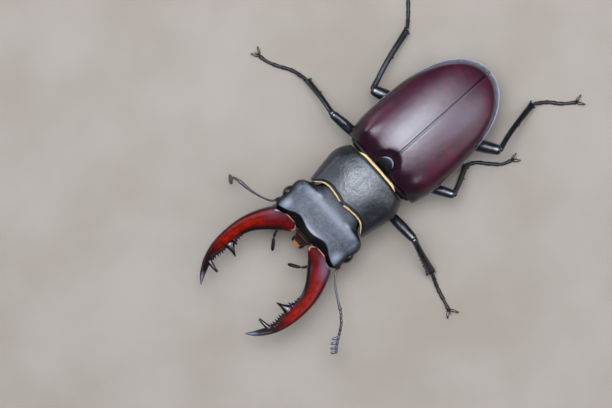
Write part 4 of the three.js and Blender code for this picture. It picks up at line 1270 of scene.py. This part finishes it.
def jawLines(t):
    # outer and inner edge, middle height and half height at t along the jaw
    outer, inner, middle, half = zip(*mandible["stations"])
    outer = splinePoints([(*p, 0.0) for p in outer], t)[:, :2]
    inner = splinePoints([(*p, 0.0) for p in inner], t)[:, :2]
    places = np.linspace(0, 1, len(middle))
    return outer, inner, softCurve(list(zip(places, middle)))(t), softCurve(list(zip(places, half)))(t)


def mandibleShape():
    # worked out for the left jaw
    t = np.linspace(0, 1, mandible["rings"])
    outer, inner, middle, half = jawLines(t)
    turn = aroundRing(mandible["sides"])
    across = -np.cos(turn)                                    # -1 at the outer edge, 1 at the inner
    under = squared(np.sin(turn), mandible["underPower"])
    above = np.where(np.sin(turn) >= 0, mandible["upperFace"](across), under)
    share = (across[None] + 1) / 2
    plan = outer[:, None] + (inner - outer)[:, None] * share[..., None]
    fade = smoothStep(1.0, 0.9, t)[:, None]
    upper = mix(np.abs(np.sin(turn))[None], np.maximum(above, 0)[None], fade)
    height = middle[:, None] + half[:, None] * np.where(above >= 0, upper, above)
    shapes = [tube(np.concatenate([plan, height[..., None]], -1))]
    for tooth in mandible["largeTeeth"]:
        shapes.append(sweep(tooth["line"], lambda s: alongRow(tooth["width"], s),
                            lambda s: alongRow(tooth["height"], s), rings=40, sides=24))
    tall, least = mandible["smallToothHeight"], mandible["leastTooth"]
    for y, reach, width in mandible["smallTeeth"]:
        n = np.abs(inner[:, 1] - y).argmin()
        edge = np.array([*inner[n], middle[n] + 0.12])
        root, tip = edge + [0.7, 0.1, 0.1], edge + [-reach, -0.1, -0.02]
        shapes.append(sweep([root, mix(root, tip, 0.5) + [0, 0.02, 0.05], tip],
                            lambda s: np.maximum(least, width * (1 - s) ** 0.55),
                            lambda s: np.maximum(least, tall * (1 - s) ** 0.6), rings=16, sides=14))
    points, faces = fused(shapes, mandible["voxel"])
    # the base follows the head's face, with its inner corner rounded off
    corner = mandible["baseCorner"] * smoothStep(3.1, 2.2, points[:, 0])
    base = head["face"](points[:, 0]) - mandible["gap"] - corner
    points[:, 1] = np.minimum(points[:, 1], base)

    # where each point lies across and along the jaw, for its colours
    def nearest(line):
        parts = [((part[:, None, :2] - line) ** 2).sum(-1) for part in np.array_split(points, 40)]
        return (np.concatenate([np.sqrt(part.min(1)) for part in parts]),
                np.concatenate([t[part.argmin(1)] for part in parts]))

    along = nearest((outer + inner) / 2)[1]
    fromInner, fromOuter = nearest(inner)[0], nearest(outer)[0]
    width = np.interp(along, t, np.linalg.norm(outer - inner, axis=1))
    tones = jawTones(along, fromInner, fromOuter, width, points[:, 1] - base, points,
                     points[:, 2] - np.interp(along, t, middle))
    return (points, faces), tones


# how strong each of the jaw's colours is, from 0 to 1
jawColours = {
    "band": (1.7, 1.0), "bandWave": 0.12,       # width of the black inner band at the base and further on
    # the inner band, teeth and tips are the jaw's own black and outerLine darkens the outer edge; darkBase,
    # darkUnder and darkRim are painted shade at the base, underneath and against the head's face
    "outerLine": 0.85, "darkTip": (0.88, 0.09), "darkBase": 0.35, "darkUnder": 0.9, "darkRim": 0.95,
    # strengths of the painted reflection at the base
    "darkest": 0.97, "reflectionOutside": 0.75, "reflectionTop": 0.6, "membrane": 0.9,
    # sheen is a painted highlight on the upper face of the tips
    "sheen": (0.75, 0.05, 0.42), "warm": (1.0, 0.0, 0.45),      # strength, place across, half width
}


def jawTones(along, fromInner, fromOuter, width, rimward, points, aboveMiddle):
    # across runs from -1 at the outer edge to 1 at the inner, along from 0 at the base to 1
    colours = jawColours
    across = (fromOuter - fromInner) / (fromOuter + fromInner)
    outside = smoothStep(-0.1, -0.75, across)
    onTooth = smoothStep(0.6, 1.2, fromOuter / width)
    band = mix(*colours["band"], smoothStep(0.1, 0.5, along)) + colours["bandWave"] * np.sin(23 * along)
    tip, end = colours["darkTip"]
    dark = np.maximum.reduce([
        np.maximum(smoothStep(band, band * 0.35, fromInner), onTooth) * smoothStep(0.04, 0.12, along),
        colours["outerLine"] * smoothStep(-0.5, -0.95, across),
        tip * smoothStep(0.54, 0.74, along) + end * smoothStep(0.74, 0.84, along),
        # painted shade at the base, underneath and where the base meets the head
        colours["darkBase"] * smoothStep(0.17, 0.05, along),
        colours["darkUnder"] * smoothStep(8.3, 7.4, points[:, 2]) * (along < 0.8),
        colours["darkRim"] * outside * smoothStep(-0.9, -0.2, rimward)])
    # painted lilac reflection on the outer side and the top of the base
    baseReflection = np.maximum(
        colours["reflectionOutside"] * outside * smoothStep(0.16, 0.05, along),
        colours["reflectionTop"] * smoothStep(0.3, -0.3, across) * smoothStep(0.24, 0.12, along))
    # painted highlight on the upper face of the tips
    sheen = ridge(colours["sheen"], across) * smoothStep(0.86, 0.93, along)
    sheen *= smoothStep(0.0, 0.2, aboveMiddle)
    warm = ridge(colours["warm"], across) * smoothStep(0.1, 0.3, along) * smoothStep(0.74, 0.52, along)
    baseCorner = smoothStep(0.75, 0.6, -points[:, 1] - 22.6)
    membrane = np.maximum(smoothStep(-0.2, -0.08, rimward) * smoothStep(-0.25, 0.1, across),
                          smoothStep(0.4, 0.25, fromInner) * baseCorner)
    membrane *= points[:, 2] > 8.2
    return {"dark": np.clip(dark, 0, colours["darkest"]), "baseReflection": baseReflection, "sheen": sheen, "warm": warm,
            "membrane": colours["membrane"] * membrane}


jaw, tones = mandibleShape()
for side in (left, right):
    shape = jaw if side == left else mirrored(jaw)
    # the painted reflection at the base is stronger on one side
    sideTones = dict(tones, baseReflection=tones["baseReflection"] * mandible["baseReflection"][sideNames[side]])
    piece("mandibleJaw." + sideNames[side], shape, finishes["mandible"],
          ["mandible_" + sideNames[side]], sideTones)
print("stage: jaws", len(jaw[0]), "points")


# palps and feelers
def beaded(line, joints, radius, waist=0.72, clubbed=None, rings=14):
    # a chain of swollen joints along a smooth line; joints are the shares where they end
    shapes = []
    start = 0.0
    for n, end in enumerate(joints):
        t = np.linspace(start, min(1, end + 0.006), rings)
        swell = clubbed[n] if clubbed else 1.0

        def size(s):
            local = (s - start) / (end - start)
            shape = waist + (1 - waist) * np.sin(np.pi * np.clip(local, 0, 1) ** 1.3) ** 0.8
            return radius * swell * shape * np.sqrt(np.maximum(0.04, 1 - np.abs(2 * local - 1) ** 10))

        shapes.append(sweep(line, size, rings=rings - 1, sides=24, shares=t, even=True))
        start = end
    return together(shapes)


# shares where the joints end, how thick each is, and the radius
palpJoints = {
    "maxillary": {"ends": (0.2, 0.46, 0.68, 1.0), "clubbed": (0.9, 0.8, 0.85, 1.2), "radius": 0.31},
    "labial": {"ends": (0.3, 0.62, 1.0), "clubbed": (0.9, 0.8, 0.95), "radius": 0.25},
}
palps = {
    "maxillary_palp_left": [(2.9, -22.0, 6.8), (4.7, -24.4, 5.7), (4.6, -26.1, 5.8), (1.9, -28.3, 5.4)],
    "maxillary_palp_right": [(-2.9, -22.0, 6.8), (-4.4, -24.2, 5.7), (-4.3, -26.0, 5.8), (-2.05, -28.8, 5.4)],
    "labial_palp_left": [(0.9, -22.0, 6.9), (1.3, -23.5, 5.7), (1.0, -24.5, 5.4)],
    "labial_palp_right": [(-0.9, -22.0, 6.9), (-1.3, -23.5, 5.7), (-1.0, -24.5, 5.4)],
}
for name, line in palps.items():
    kind, _, sideName = name.split("_")
    joints = palpJoints[kind]
    shape = beaded(line, joints["ends"], joints["radius"], clubbed=joints["clubbed"])
    piece(kind + "Palp." + sideName, shape, finishes["palp"], [name], {"tip": 0.0})

antennae = {
    "left": {
        "scape": [(8.85, -21.1, 7.8), (9.4, -22.3, 8.1), (11.1, -24.0, 8.6), (14.5, -26.0, 9.4),
                  (15.5, -26.5, 9.6)],
        "funicle": [(15.5, -26.5, 9.6), (17.6, -28.2, 9.3), (18.95, -30.0, 8.8)],
        "club": [(18.92, -29.95, 8.82), (20.1, -31.6, 8.4), (21.2, -32.7, 8.0)],
        "leaf": (-0.65, -1.2, -0.15),
    },
    "right": {
        "scape": [(-8.85, -21.1, 7.8), (-9.4, -22.2, 8.1), (-10.9, -23.1, 8.6), (-13.7, -24.0, 9.3),
                  (-16.9, -24.5, 9.8)],
        "funicle": [(-16.85, -24.5, 9.75), (-17.8, -24.9, 7.9), (-18.0, -25.2, 6.2)],
        "club": [(-18.0, -25.2, 6.2), (-17.8, -25.6, 4.6), (-17.4, -26.0, 3.5)],
        "leaf": (-0.95, 0.2, -0.95),
    },
    "radius": {"scape": 0.28, "funicle": 0.3, "club": 0.34, "leaf": 0.3},
    "funicleJoints": 6, "funicleWaist": 0.78,
    # the club's joints: shares where they end and how thick each is
    "clubJoints": (0.28, 0.55, 0.82, 1.0), "clubbed": (0.95, 1.0, 1.0, 0.95), "clubWaist": 0.75,
    "leaves": (0.14, 0.41, 0.68, 0.93),     # where the leaves stand along the club
    "leafReach": (1.02, 0.05),              # how far the first one reaches, and how much less each next one
    "voxel": 0.045,
}


def scapeGirth(t):
    # thicker at its root and at its end than between them
    waist = 1.15 - 0.45 * np.sin(np.pi * np.clip(t * 1.1, 0, 1)) ** 0.7 + 0.35 * t ** 6
    return antennae["radius"]["scape"] * waist * roundedEnds(t, 24)


def clubShape(parts):
    # four close joints, each with a blunt leaf standing out to one side
    radius = antennae["radius"]["leaf"]

    def leafWidth(t):
        swell = 0.55 + 0.5 * np.sin(np.pi * t ** 0.8) ** 0.8
        return radius * swell * np.sqrt(np.maximum(0.03, 1 - t ** 12))

    def leafHeight(t):
        return radius * 0.95 * (0.6 + 0.5 * t) * np.sqrt(np.maximum(0.03, 1 - t ** 8))

    shapes = [beaded(parts["club"], antennae["clubJoints"], antennae["radius"]["club"],
                     waist=antennae["clubWaist"], clubbed=antennae["clubbed"])]
    first, less = antennae["leafReach"]
    for n, share in enumerate(antennae["leaves"]):
        root = evenPoints(parts["club"], share)[0]
        tip = root + np.array(parts["leaf"]) * (first - less * n)
        line = [root, mix(root, tip, 0.5) + [0, 0, 0.05], tip]
        shapes.append(sweep(line, leafWidth, leafHeight, rings=30, sides=24))
    return fused(shapes, antennae["voxel"])


funicleEnds = np.arange(1, antennae["funicleJoints"] + 1) / antennae["funicleJoints"]
for sideName in ("left", "right"):
    parts, node = antennae[sideName], "antenna_" + sideName
    shapes = {
        "Scape": sweep(parts["scape"], scapeGirth, rings=120, sides=28),
        "Funicle": beaded(parts["funicle"], funicleEnds, antennae["radius"]["funicle"],
                          waist=antennae["funicleWaist"], rings=16),
        "Club": clubShape(parts),
    }
    for part, shape in shapes.items():
        piece("antenna" + part + "." + sideName, shape, finishes["feeler"],
              [node + "_" + part.lower()], {"tip": 0.35 if part == "Club" else 0.0})
print("stage: palps and feelers")


# legs
legSizes = {
    "femur": {"foreleg": 1.06, "midleg": 1.06, "hindleg": 1.27}, "femurFlat": 0.88,
    # half width of the tibia at the knee and at the ankle
    "tibia": {"foreleg": (0.66, 0.84), "midleg": (0.6, 0.62), "hindleg": (0.58, 0.64)},
    "tibiaFlat": 0.82,
    "bow": {"foreleg": 0.1, "midleg": 0.15, "hindleg": -0.3},   # how far the tibia bends sideways
    "tarsus": 0.43, "claw": 0.27, "clawPad": 0.12, "clawPadHair": 0.055,
    "coxaFlat": 0.36,                   # how much the lower half of the coxa is pressed in
    "coxaGroove": (0.1, 0.45, 0.12),    # a groove across its underside: depth, place outwards, half width
    "femurBow": 0.16,                   # how far the middle of the thigh arches up
    "femurGroove": (0.22, 0, 0.28),     # under its end, where the shin folds in: depth, place, half width
    "tibiaArch": 0.22, "tibiaSquareness": 0.82,
    "ridges": (0.02, 9, 0.6),           # along the shin: height, how close together, how far round
    "voxel": 0.07,
}
# how thick each part is along its length
legGirths = {
    "femur": softCurve([(0, 0.34), (0.06, 0.5), (0.14, 0.66), (0.4, 0.95), (0.62, 1.0), (0.84, 0.9),
                        (0.94, 0.8), (0.985, 0.6), (1, 0.3)]),
    "tibia": softCurve([(0, 0.7), (0.03, 1.1), (0.08, 1.02), (0.2, 0.92), (0.9, 1.0), (0.965, 1.05),
                        (0.99, 0.9), (1, 0.55)]),
    "tarsusJoint": softCurve([(0, 0.68), (0.1, 0.74), (0.45, 0.8), (0.8, 0.92), (0.95, 0.97), (1, 0.76)]),
    "tarsusEnd": softCurve([(0, 0.62), (0.15, 0.66), (0.6, 0.72), (0.88, 0.88), (0.97, 0.84), (1, 0.5)]),
    "claw": softCurve([(0, 0.9), (0.2, 1.05), (0.5, 0.8), (0.8, 0.5), (0.95, 0.26), (1, 0.08)]),
}
# spines on the outer edge of the tibia: share of its length, and size
spineRows = {
    "foreleg": [(0.4, 0.35), (0.52, 0.5), (0.62, 0.35), (0.71, 0.65), (0.79, 0.5), (0.86, 0.75),
                (0.94, 1.1)],
    "midleg": [(0.55, 0.5), (0.94, 0.6)],
    "hindleg": [(0.52, 0.45), (0.94, 0.55)],
}
spurs = ((0.95, 0.75, 0.15), (0.97, 0.55, -0.25))    # at the shin's end: share of its length, reach, rise
legs = {
    "foreleg_left": {
        "knee": (14.6, -6.5, 8.8), "ankle": (22.1, -8.1, 1.6),
        "foot": [(25.3, -9.3), (28.0, -10.0), (29.9, -10.5)], "claws": [(31.7, -9.2), (31.1, -11.9)],
    },
    "foreleg_right": {
        "knee": (-7.3, -17.6, 3.9), "ankle": (-8.9, -27.8, 1.5),
        "foot": [(-9.5, -30.6), (-9.8, -33.4), (-9.9, -35.6)], "claws": [(-9.1, -37.4), (-10.8, -37.3)],
    },
    "midleg_left": {
        "knee": (13.3, 5.1, 8.3), "ankle": (10.8, 10.9, 1.1),
        "foot": [(11.7, 12.9), (13.6, 14.7), (15.4, 16.6), (16.1, 18.5)],
        "claws": [(15.6, 20.2), (17.3, 20.0)],
    },
    "midleg_right": {
        "knee": (-14.2, -2.1, 8.2), "ankle": (-22.7, -1.2, 1.6),
        "foot": [(-26.2, -2.15), (-28.6, -3.6), (-31.0, -4.75), (-32.6, -5.05)],
        "claws": [(-34.3, -4.0), (-34.1, -6.0)],
    },
    "hindleg_left": {
        "knee": (12.8, 17.6, 8.8), "ankle": (10.5, 29.0, 1.2),
        "foot": [(12.3, 31.6), (14.2, 33.3), (16.0, 35.7)], "claws": [(15.4, 37.4), (17.5, 36.9)],
    },
    "hindleg_right": {
        "knee": (-12.6, 7.0, 6.2), "ankle": (-17.0, 20.2, 1.5),
        "foot": [(-19.0, 22.3), (-21.0, 24.1), (-24.6, 27.4)], "claws": [(-25.3, 29.2), (-26.5, 27.9)],
    },
}


def coxaShape(kind, side):
    points, faces = ball(hip(kind, side), coxae[kind]["radii"], 60, 80)
    rx = coxae[kind]["radii"][0]
    off = points - hip(kind, side)
    points[:, 2] -= np.minimum(off[:, 2], 0) * legSizes["coxaFlat"]
    groove = ridge(legSizes["coxaGroove"], side * off[:, 0] / rx) * (off[:, 2] < 0)
    return points - off * groove[:, None], faces


def coxaReach(kind, way):
    # how far the coxa reaches from its middle in the given direction
    return 1 / np.linalg.norm(way / np.array(coxae[kind]["radii"]))


def femurShape(leg, kind, side):
    start, knee = hip(kind, side), np.array(leg["knee"])
    way = unit(knee - start)
    a = start + way * (coxaReach(kind, way) - 0.1)
    b = knee + way * 0.3
    across, upright = framesAlong(np.array([a, b, b + way]))[1:]
    middle = mix(a, b, 0.5) + upright[0] * legSizes["femurBow"]

    def girth(t):
        return legSizes["femur"][kind] * legGirths["femur"](t)

    points, faces = sweep([a, middle, b], girth, lambda t: girth(t) * legSizes["femurFlat"],
                          sides=56, shares=easedShares(110), even=True)
    off = points - a
    share = (off @ way) / np.linalg.norm(b - a)
    sideways = off - np.outer(off @ way, way)
    under, beside = sideways @ upright[0], sideways @ across[0]
    groove = smoothStep(0.55, 0.85, share) * ridge(legSizes["femurGroove"], beside) * (under < 0)
    return points + np.outer(groove, upright[0]), faces


def tibiaShape(leg, kind):
    knee, ankle = np.array(leg["knee"]), np.array(leg["ankle"])
    way = unit(ankle - knee)
    a, b = knee - way * 0.15, ankle - way * 0.02
    across = unit(np.cross(way, [0, 0, 1.0]))
    outer = np.sign(-across[1] if kind == "foreleg" else across[1])
    line = [a, mix(a, b, 0.42) + across * outer * legSizes["bow"][kind] + [0, 0, legSizes["tibiaArch"]], b]

    def girth(t):
        return mix(*legSizes["tibia"][kind], smoothStep(0, 1.0, t) ** 0.9) * legGirths["tibia"](t)

    shapes = [sweep(line, girth, lambda t: girth(t) * legSizes["tibiaFlat"], sides=40,
                    shares=easedShares(90), even=True, power=legSizes["tibiaSquareness"])]
    length = np.linalg.norm(b - a)
    for share, size in spineRows[kind]:
        root = evenPoints(line, share)[0]
        tip = root + way * (0.42 + 0.3 * size) + across * outer * (girth(share) + 0.5 * size)
        middle = mix(root, tip, 0.62) + across * outer * 0.1
        thick = 0.3 + 0.14 * size
        shapes.append(sweep([root, middle, tip], lambda s: np.maximum(0.05, thick * (1 - s) ** 0.8),
                            rings=16, sides=14))
    for share, reach, rise in spurs:          # on the inner side
        root = evenPoints(line, share)[0]
        inward = girth(share) * 0.6 + reach * 0.45
        tip = root + way * 1.15 - across * outer * inward + np.array([0, 0, rise])
        shapes.append(sweep([root, mix(root, tip, 0.5) - across * outer * 0.12, tip],
                            lambda s: np.maximum(0.05, 0.24 * (1 - s) ** 0.7), rings=16, sides=14))
    points, faces = fused(shapes, legSizes["voxel"])
    off = points - a
    share = (off @ way) / length
    sideways = off - np.outer(off @ way, way)
    beside, above = sideways @ across, sideways[:, 2]
    height, often, reach = legSizes["ridges"]
    lift = height * np.cos(beside * often) * (np.abs(beside) < reach)
    lift *= smoothStep(0.1, 0.25, share) * smoothStep(1.0, 0.85, share)
    points = points + np.outer(lift * np.sign(above), [0, 0, 1.0])
    tip = smoothStep(0.85, 1.6, np.abs(beside)) * 0.5
    return (points, faces), tip


# shares of the foot where its joints end, and how far each one reaches into the next
tarsus = {"ends": (0.19, 0.36, 0.53, 0.70, 1.0), "lap": 0.012}


def aboveFloor(shape):
    points, faces = shape
    points[:, 2] = np.maximum(points[:, 2], 0.0)
    return points, faces


def tarsusShape(leg):
    ankle = np.array(leg["ankle"])
    rest = legSizes["tarsus"] * 0.97 - 0.03
    line = [ankle] + [np.array([x, y, rest]) for x, y in leg["foot"]]
    line[0] = evenPoints(line, 0.03)[0]
    shapes, start = [], 0.0
    for end in tarsus["ends"]:
        last = end == tarsus["ends"][-1]
        profile = legGirths["tarsusEnd" if last else "tarsusJoint"]

        def size(s):
            return legSizes["tarsus"] * 1.04 * profile(np.clip((s - start) / (end - start), 0, 1))

        shares = np.linspace(start, min(1, end + tarsus["lap"]), 34)
        shapes.append(sweep(line, size, sides=30, shares=shares, even=True))
        # a pair of short stiff hairs at the lower end of each joint
        if not last:
            fine = evenPoints(line, [end - 0.02, end])
            way = unit(fine[1] - fine[0])
            across = unit(np.cross(way, [0, 0, 1.0]))
            for s in (-1, 1):
                root = fine[0] + across * s * 0.12 - [0, 0, 0.12]
                tip = root + way * 0.3 + across * s * 0.2 - [0, 0, 0.06]
                shapes.append(sweep([root, tip], lambda s: np.maximum(0.03, 0.09 * (1 - s)),
                                    rings=6, sides=8))
        start = end
    return aboveFloor(together(shapes))


def clawsShape(leg):
    wrist, end = (np.array(p, float) for p in leg["foot"][-2:])
    ahead = unit(end - wrist)
    root = end + ahead * 0.12
    shapes = []
    for x, y in leg["claws"]:
        target = np.array([x, y])
        side = unit(target - end - ahead * np.dot(target - end, ahead))
        first = mix(root, target, 0.3) + side * 0.12
        bend = mix(root, target, 0.68) + ahead * 0.22 + side * 0.16
        line = [(*root, 0.36), (*first, 0.58), (*bend, 0.66), (*target, 0.07)]
        shapes.append(sweep(line, lambda t: legSizes["claw"] * legGirths["claw"](t), rings=50, sides=22,
                            even=True))
    # the small two-haired pad between the claws
    pad = end + ahead * 0.85
    shapes.append(sweep([(*end, 0.32), (*pad, 0.26)], lambda t: legSizes["clawPad"] * (1 - 0.5 * t),
                        rings=12, sides=14))
    for s in (-1, 1):
        tip = pad + ahead * 0.5 + np.array([-ahead[1], ahead[0]]) * s * 0.22
        shapes.append(sweep([(*pad, 0.26), (*tip, 0.2)],
                            lambda t: np.maximum(0.02, legSizes["clawPadHair"] * (1 - t)), rings=8, sides=8))
    points, faces = aboveFloor(together(shapes))
    reach = np.linalg.norm(points[:, :2] - root, axis=1)
    return (points, faces), smoothStep(0.8, 2.0, reach)


for name, leg in legs.items():
    kind, sideName = name.split("_")
    side = left if sideName == "left" else right
    tibia, tibiaTip = tibiaShape(leg, kind)
    clawPair, clawTip = clawsShape(leg)
    for part, shape, finish, tip in (
            ("Coxa", coxaShape(kind, side), "limb", 0.0),
            ("Femur", femurShape(leg, kind, side), "limb", 0.0),
            ("Tibia", tibia, "limb", tibiaTip),
            ("Tarsus", tarsusShape(leg), "foot", 0.0),
            ("Claws", clawPair, "claw", clawTip)):
        piece(kind + part + "." + sideName, shape, finishes[finish],
              [name + "_" + part.lower()], {"tip": tip})
print("stage: legs")


# fringes
frontFringe = {"hairs": 3400, "from": 0.55, "to": 6.95, "fade": 0.4, "length": (0.3, 0.5),
               "thickness": 0.022}
rearFringe = {"hairs": 3000, "to": 5.3, "fade": 1.6, "length": (0.45, 0.68), "thickness": 0.021}
# roots lie in a band under the edge; the lower ones point further down
fringeLay = {"under": (0.1, 0.24), "down": (0.12, 0.25), "untidy": 0.13, "droop": 0.22, "droopVaries": 0.08}


def topOfProthorax(x, t):
    # the height of the upper plate at x, where t runs from its front to its rear edge
    width = prothorax["halfWidth"](mix(prothorax["cornerY"], prothorax["rearY"], t))
    arch = prothoraxArch(t)
    up = np.sqrt(np.maximum(0, 1 - (x / width) ** 2))
    return prothorax["rimZ"] + arch * up ** prothorax["topPower"], np.arctan2(up, x / width)


def fringeHairs(count, x, front, settings):
    t = np.full(count, 0.0 if front else 1.0)
    z, turn = topOfProthorax(x, t)
    edge = prothorax["front"](np.abs(x)) if front else prothorax["rear"](np.abs(x))
    layer = rng.uniform(0, 1, count)
    inward = 1 if front else -1
    under, down = (first + more * layer for first, more in (fringeLay["under"], fringeLay["down"]))
    roots = np.stack([x, edge + inward * 0.06, z - under], -1)
    ways = np.stack([x * 0.02, np.full(count, -inward * 1.0), -down], -1)
    ways += rng.normal(0, fringeLay["untidy"], (count, 3))
    ends = smoothStep(settings["to"] + 0.1, settings["to"] - settings["fade"], np.abs(x)) ** 0.5
    lengths = rng.uniform(*settings["length"], count) * ends
    droop = [0, 0, -fringeLay["droop"]] + rng.normal(0, fringeLay["droopVaries"], (count, 3))
    uv = np.stack([turn / (2 * np.pi), mix(0.02, 0.98, t)], -1)
    return bristles(roots, ways, lengths, np.full(count, settings["thickness"]), droop, uv)


count = frontFringe["hairs"]
x = rng.uniform(frontFringe["from"], frontFringe["to"], count) * rng.choice([-1, 1], count)
coat("frontFringe", fringeHairs(count, x, True, frontFringe), finishes["fringe"])
count = rearFringe["hairs"]
x = rng.uniform(-rearFringe["to"], rearFringe["to"], count)
coat("rearFringe", fringeHairs(count, x, False, rearFringe), finishes["fringe"])
print("stage: fringes")


# floor, light and camera
studio = {
    "floor": paint(140, 131, 120), "floorPatches": paint(131, 121, 109), "floorHalf": 1.2,
    "floorClouds": (24.0, 0.3, 0.7), "floorGrain": (0.8, 3.0, 0.03), "floorRoughness": 0.85,
    "clip": (0.01, 10),
    "sky": (0.74, 0.84, 1.0), "skyStrength": 0.07,
    "aim": (-3.25, -14.64, 9.5),   # frame millimetres at the middle of the view
    "right": (0.665, 0.747, 0.0), "up": (-0.747, 0.665, 0.0),
    "across": 119.6,               # millimetres seen across the view at that height
    "lens": 180.0, "sensor": 36.0,
    # soft lights: place in metres, side, power and colour; each points at the middle of the animal
    "lights": {
        "softboxAbove": ((-0.055, 0.02, 0.46), (0.6, 0.6), 2.4, (0.8, 0.87, 1.0)),
        "softboxMiddle": ((-0.06, 0.025, 0.43), (0.38, 0.38), 1.05, (0.81, 0.88, 1.0)),
        "softboxInner": ((-0.065, 0.02, 0.4), (0.18, 0.18), 1.45, (0.83, 0.9, 1.0)),
        "softboxRear": ((0.17, 0.25, 0.38), (0.2, 0.2), 0.6, (0.72, 0.82, 1.0)),
        "softboxSide": ((0.32, 0.18, 0.25), (0.2, 0.2), 0.25, (1.0, 0.95, 0.9)),
        "softboxLow": ((-0.4, -0.1, 0.15), (0.25, 0.12), 0.35, (0.86, 0.9, 1.0)),
    },
    "lightsAim": (0, 0, 0.01),
}


def floorFinish():
    f = Finish("floor")
    colour = f.blend(f.clouds(*studio["floorClouds"]), studio["floor"], studio["floorPatches"])
    size, detail, depth = studio["floorGrain"]
    f.set(Base_Color=colour, Roughness=studio["floorRoughness"], Specular_IOR_Level=0.2,
          Normal=f.bump(f.noise(size, detail), depth))
    return f.material


def makeFloor():
    mesh = bpy.data.meshes.new("floor")
    half = studio["floorHalf"]
    corners = [(-half, -half, 0), (half, -half, 0), (half, half, 0), (-half, half, 0)]
    mesh.from_pydata(corners, [], [(0, 1, 2, 3)])
    obj = bpy.data.objects.new("floor", mesh)
    mesh.materials.append(floorFinish())
    bpy.context.scene.collection.objects.link(obj)


def makeLight(name, place, size, power, colour):
    light = bpy.data.lights.new(name, "AREA")
    light.shape = "RECTANGLE"
    light.size, light.size_y = size
    light.energy = power
    light.color = colour
    obj = bpy.data.objects.new(name, light)
    bpy.context.scene.collection.objects.link(obj)
    obj.location = place
    towards = Vector(studio["lightsAim"]) - Vector(place)
    obj.rotation_euler = towards.to_track_quat("-Z", "Y").to_euler()


def makeCamera():
    mm = body["millimetre"]
    camera = bpy.data.cameras.new("camera")
    camera.lens = studio["lens"]
    camera.sensor_width = studio["sensor"]
    away = studio["across"] * studio["lens"] / studio["sensor"]
    rightWay, upWay = Vector(studio["right"]).normalized(), Vector(studio["up"]).normalized()
    back = rightWay.cross(upWay)
    obj = bpy.data.objects.new("camera", camera)
    bpy.context.scene.collection.objects.link(obj)
    aim = Vector(studio["aim"]) * mm
    obj.matrix_world = Matrix((
        (rightWay.x, upWay.x, back.x, aim.x + back.x * away * mm),
        (rightWay.y, upWay.y, back.y, aim.y + back.y * away * mm),
        (rightWay.z, upWay.z, back.z, aim.z + back.z * away * mm),
        (0, 0, 0, 1)))
    camera.clip_start, camera.clip_end = studio["clip"]
    bpy.context.scene.camera = obj


makeFloor()
makeCamera()
world = bpy.data.worlds.new("sky")
world.use_nodes = True
background = world.node_tree.nodes["Background"]
background.inputs["Color"].default_value = (*studio["sky"], 1)
background.inputs["Strength"].default_value = studio["skyStrength"]
bpy.context.scene.world = world
bpy.context.scene.view_settings.view_transform = "Standard"
for name, (place, size, power, colour) in studio["lights"].items():
    makeLight(name, place, size, power, colour)
print("stage: floor, light and camera")
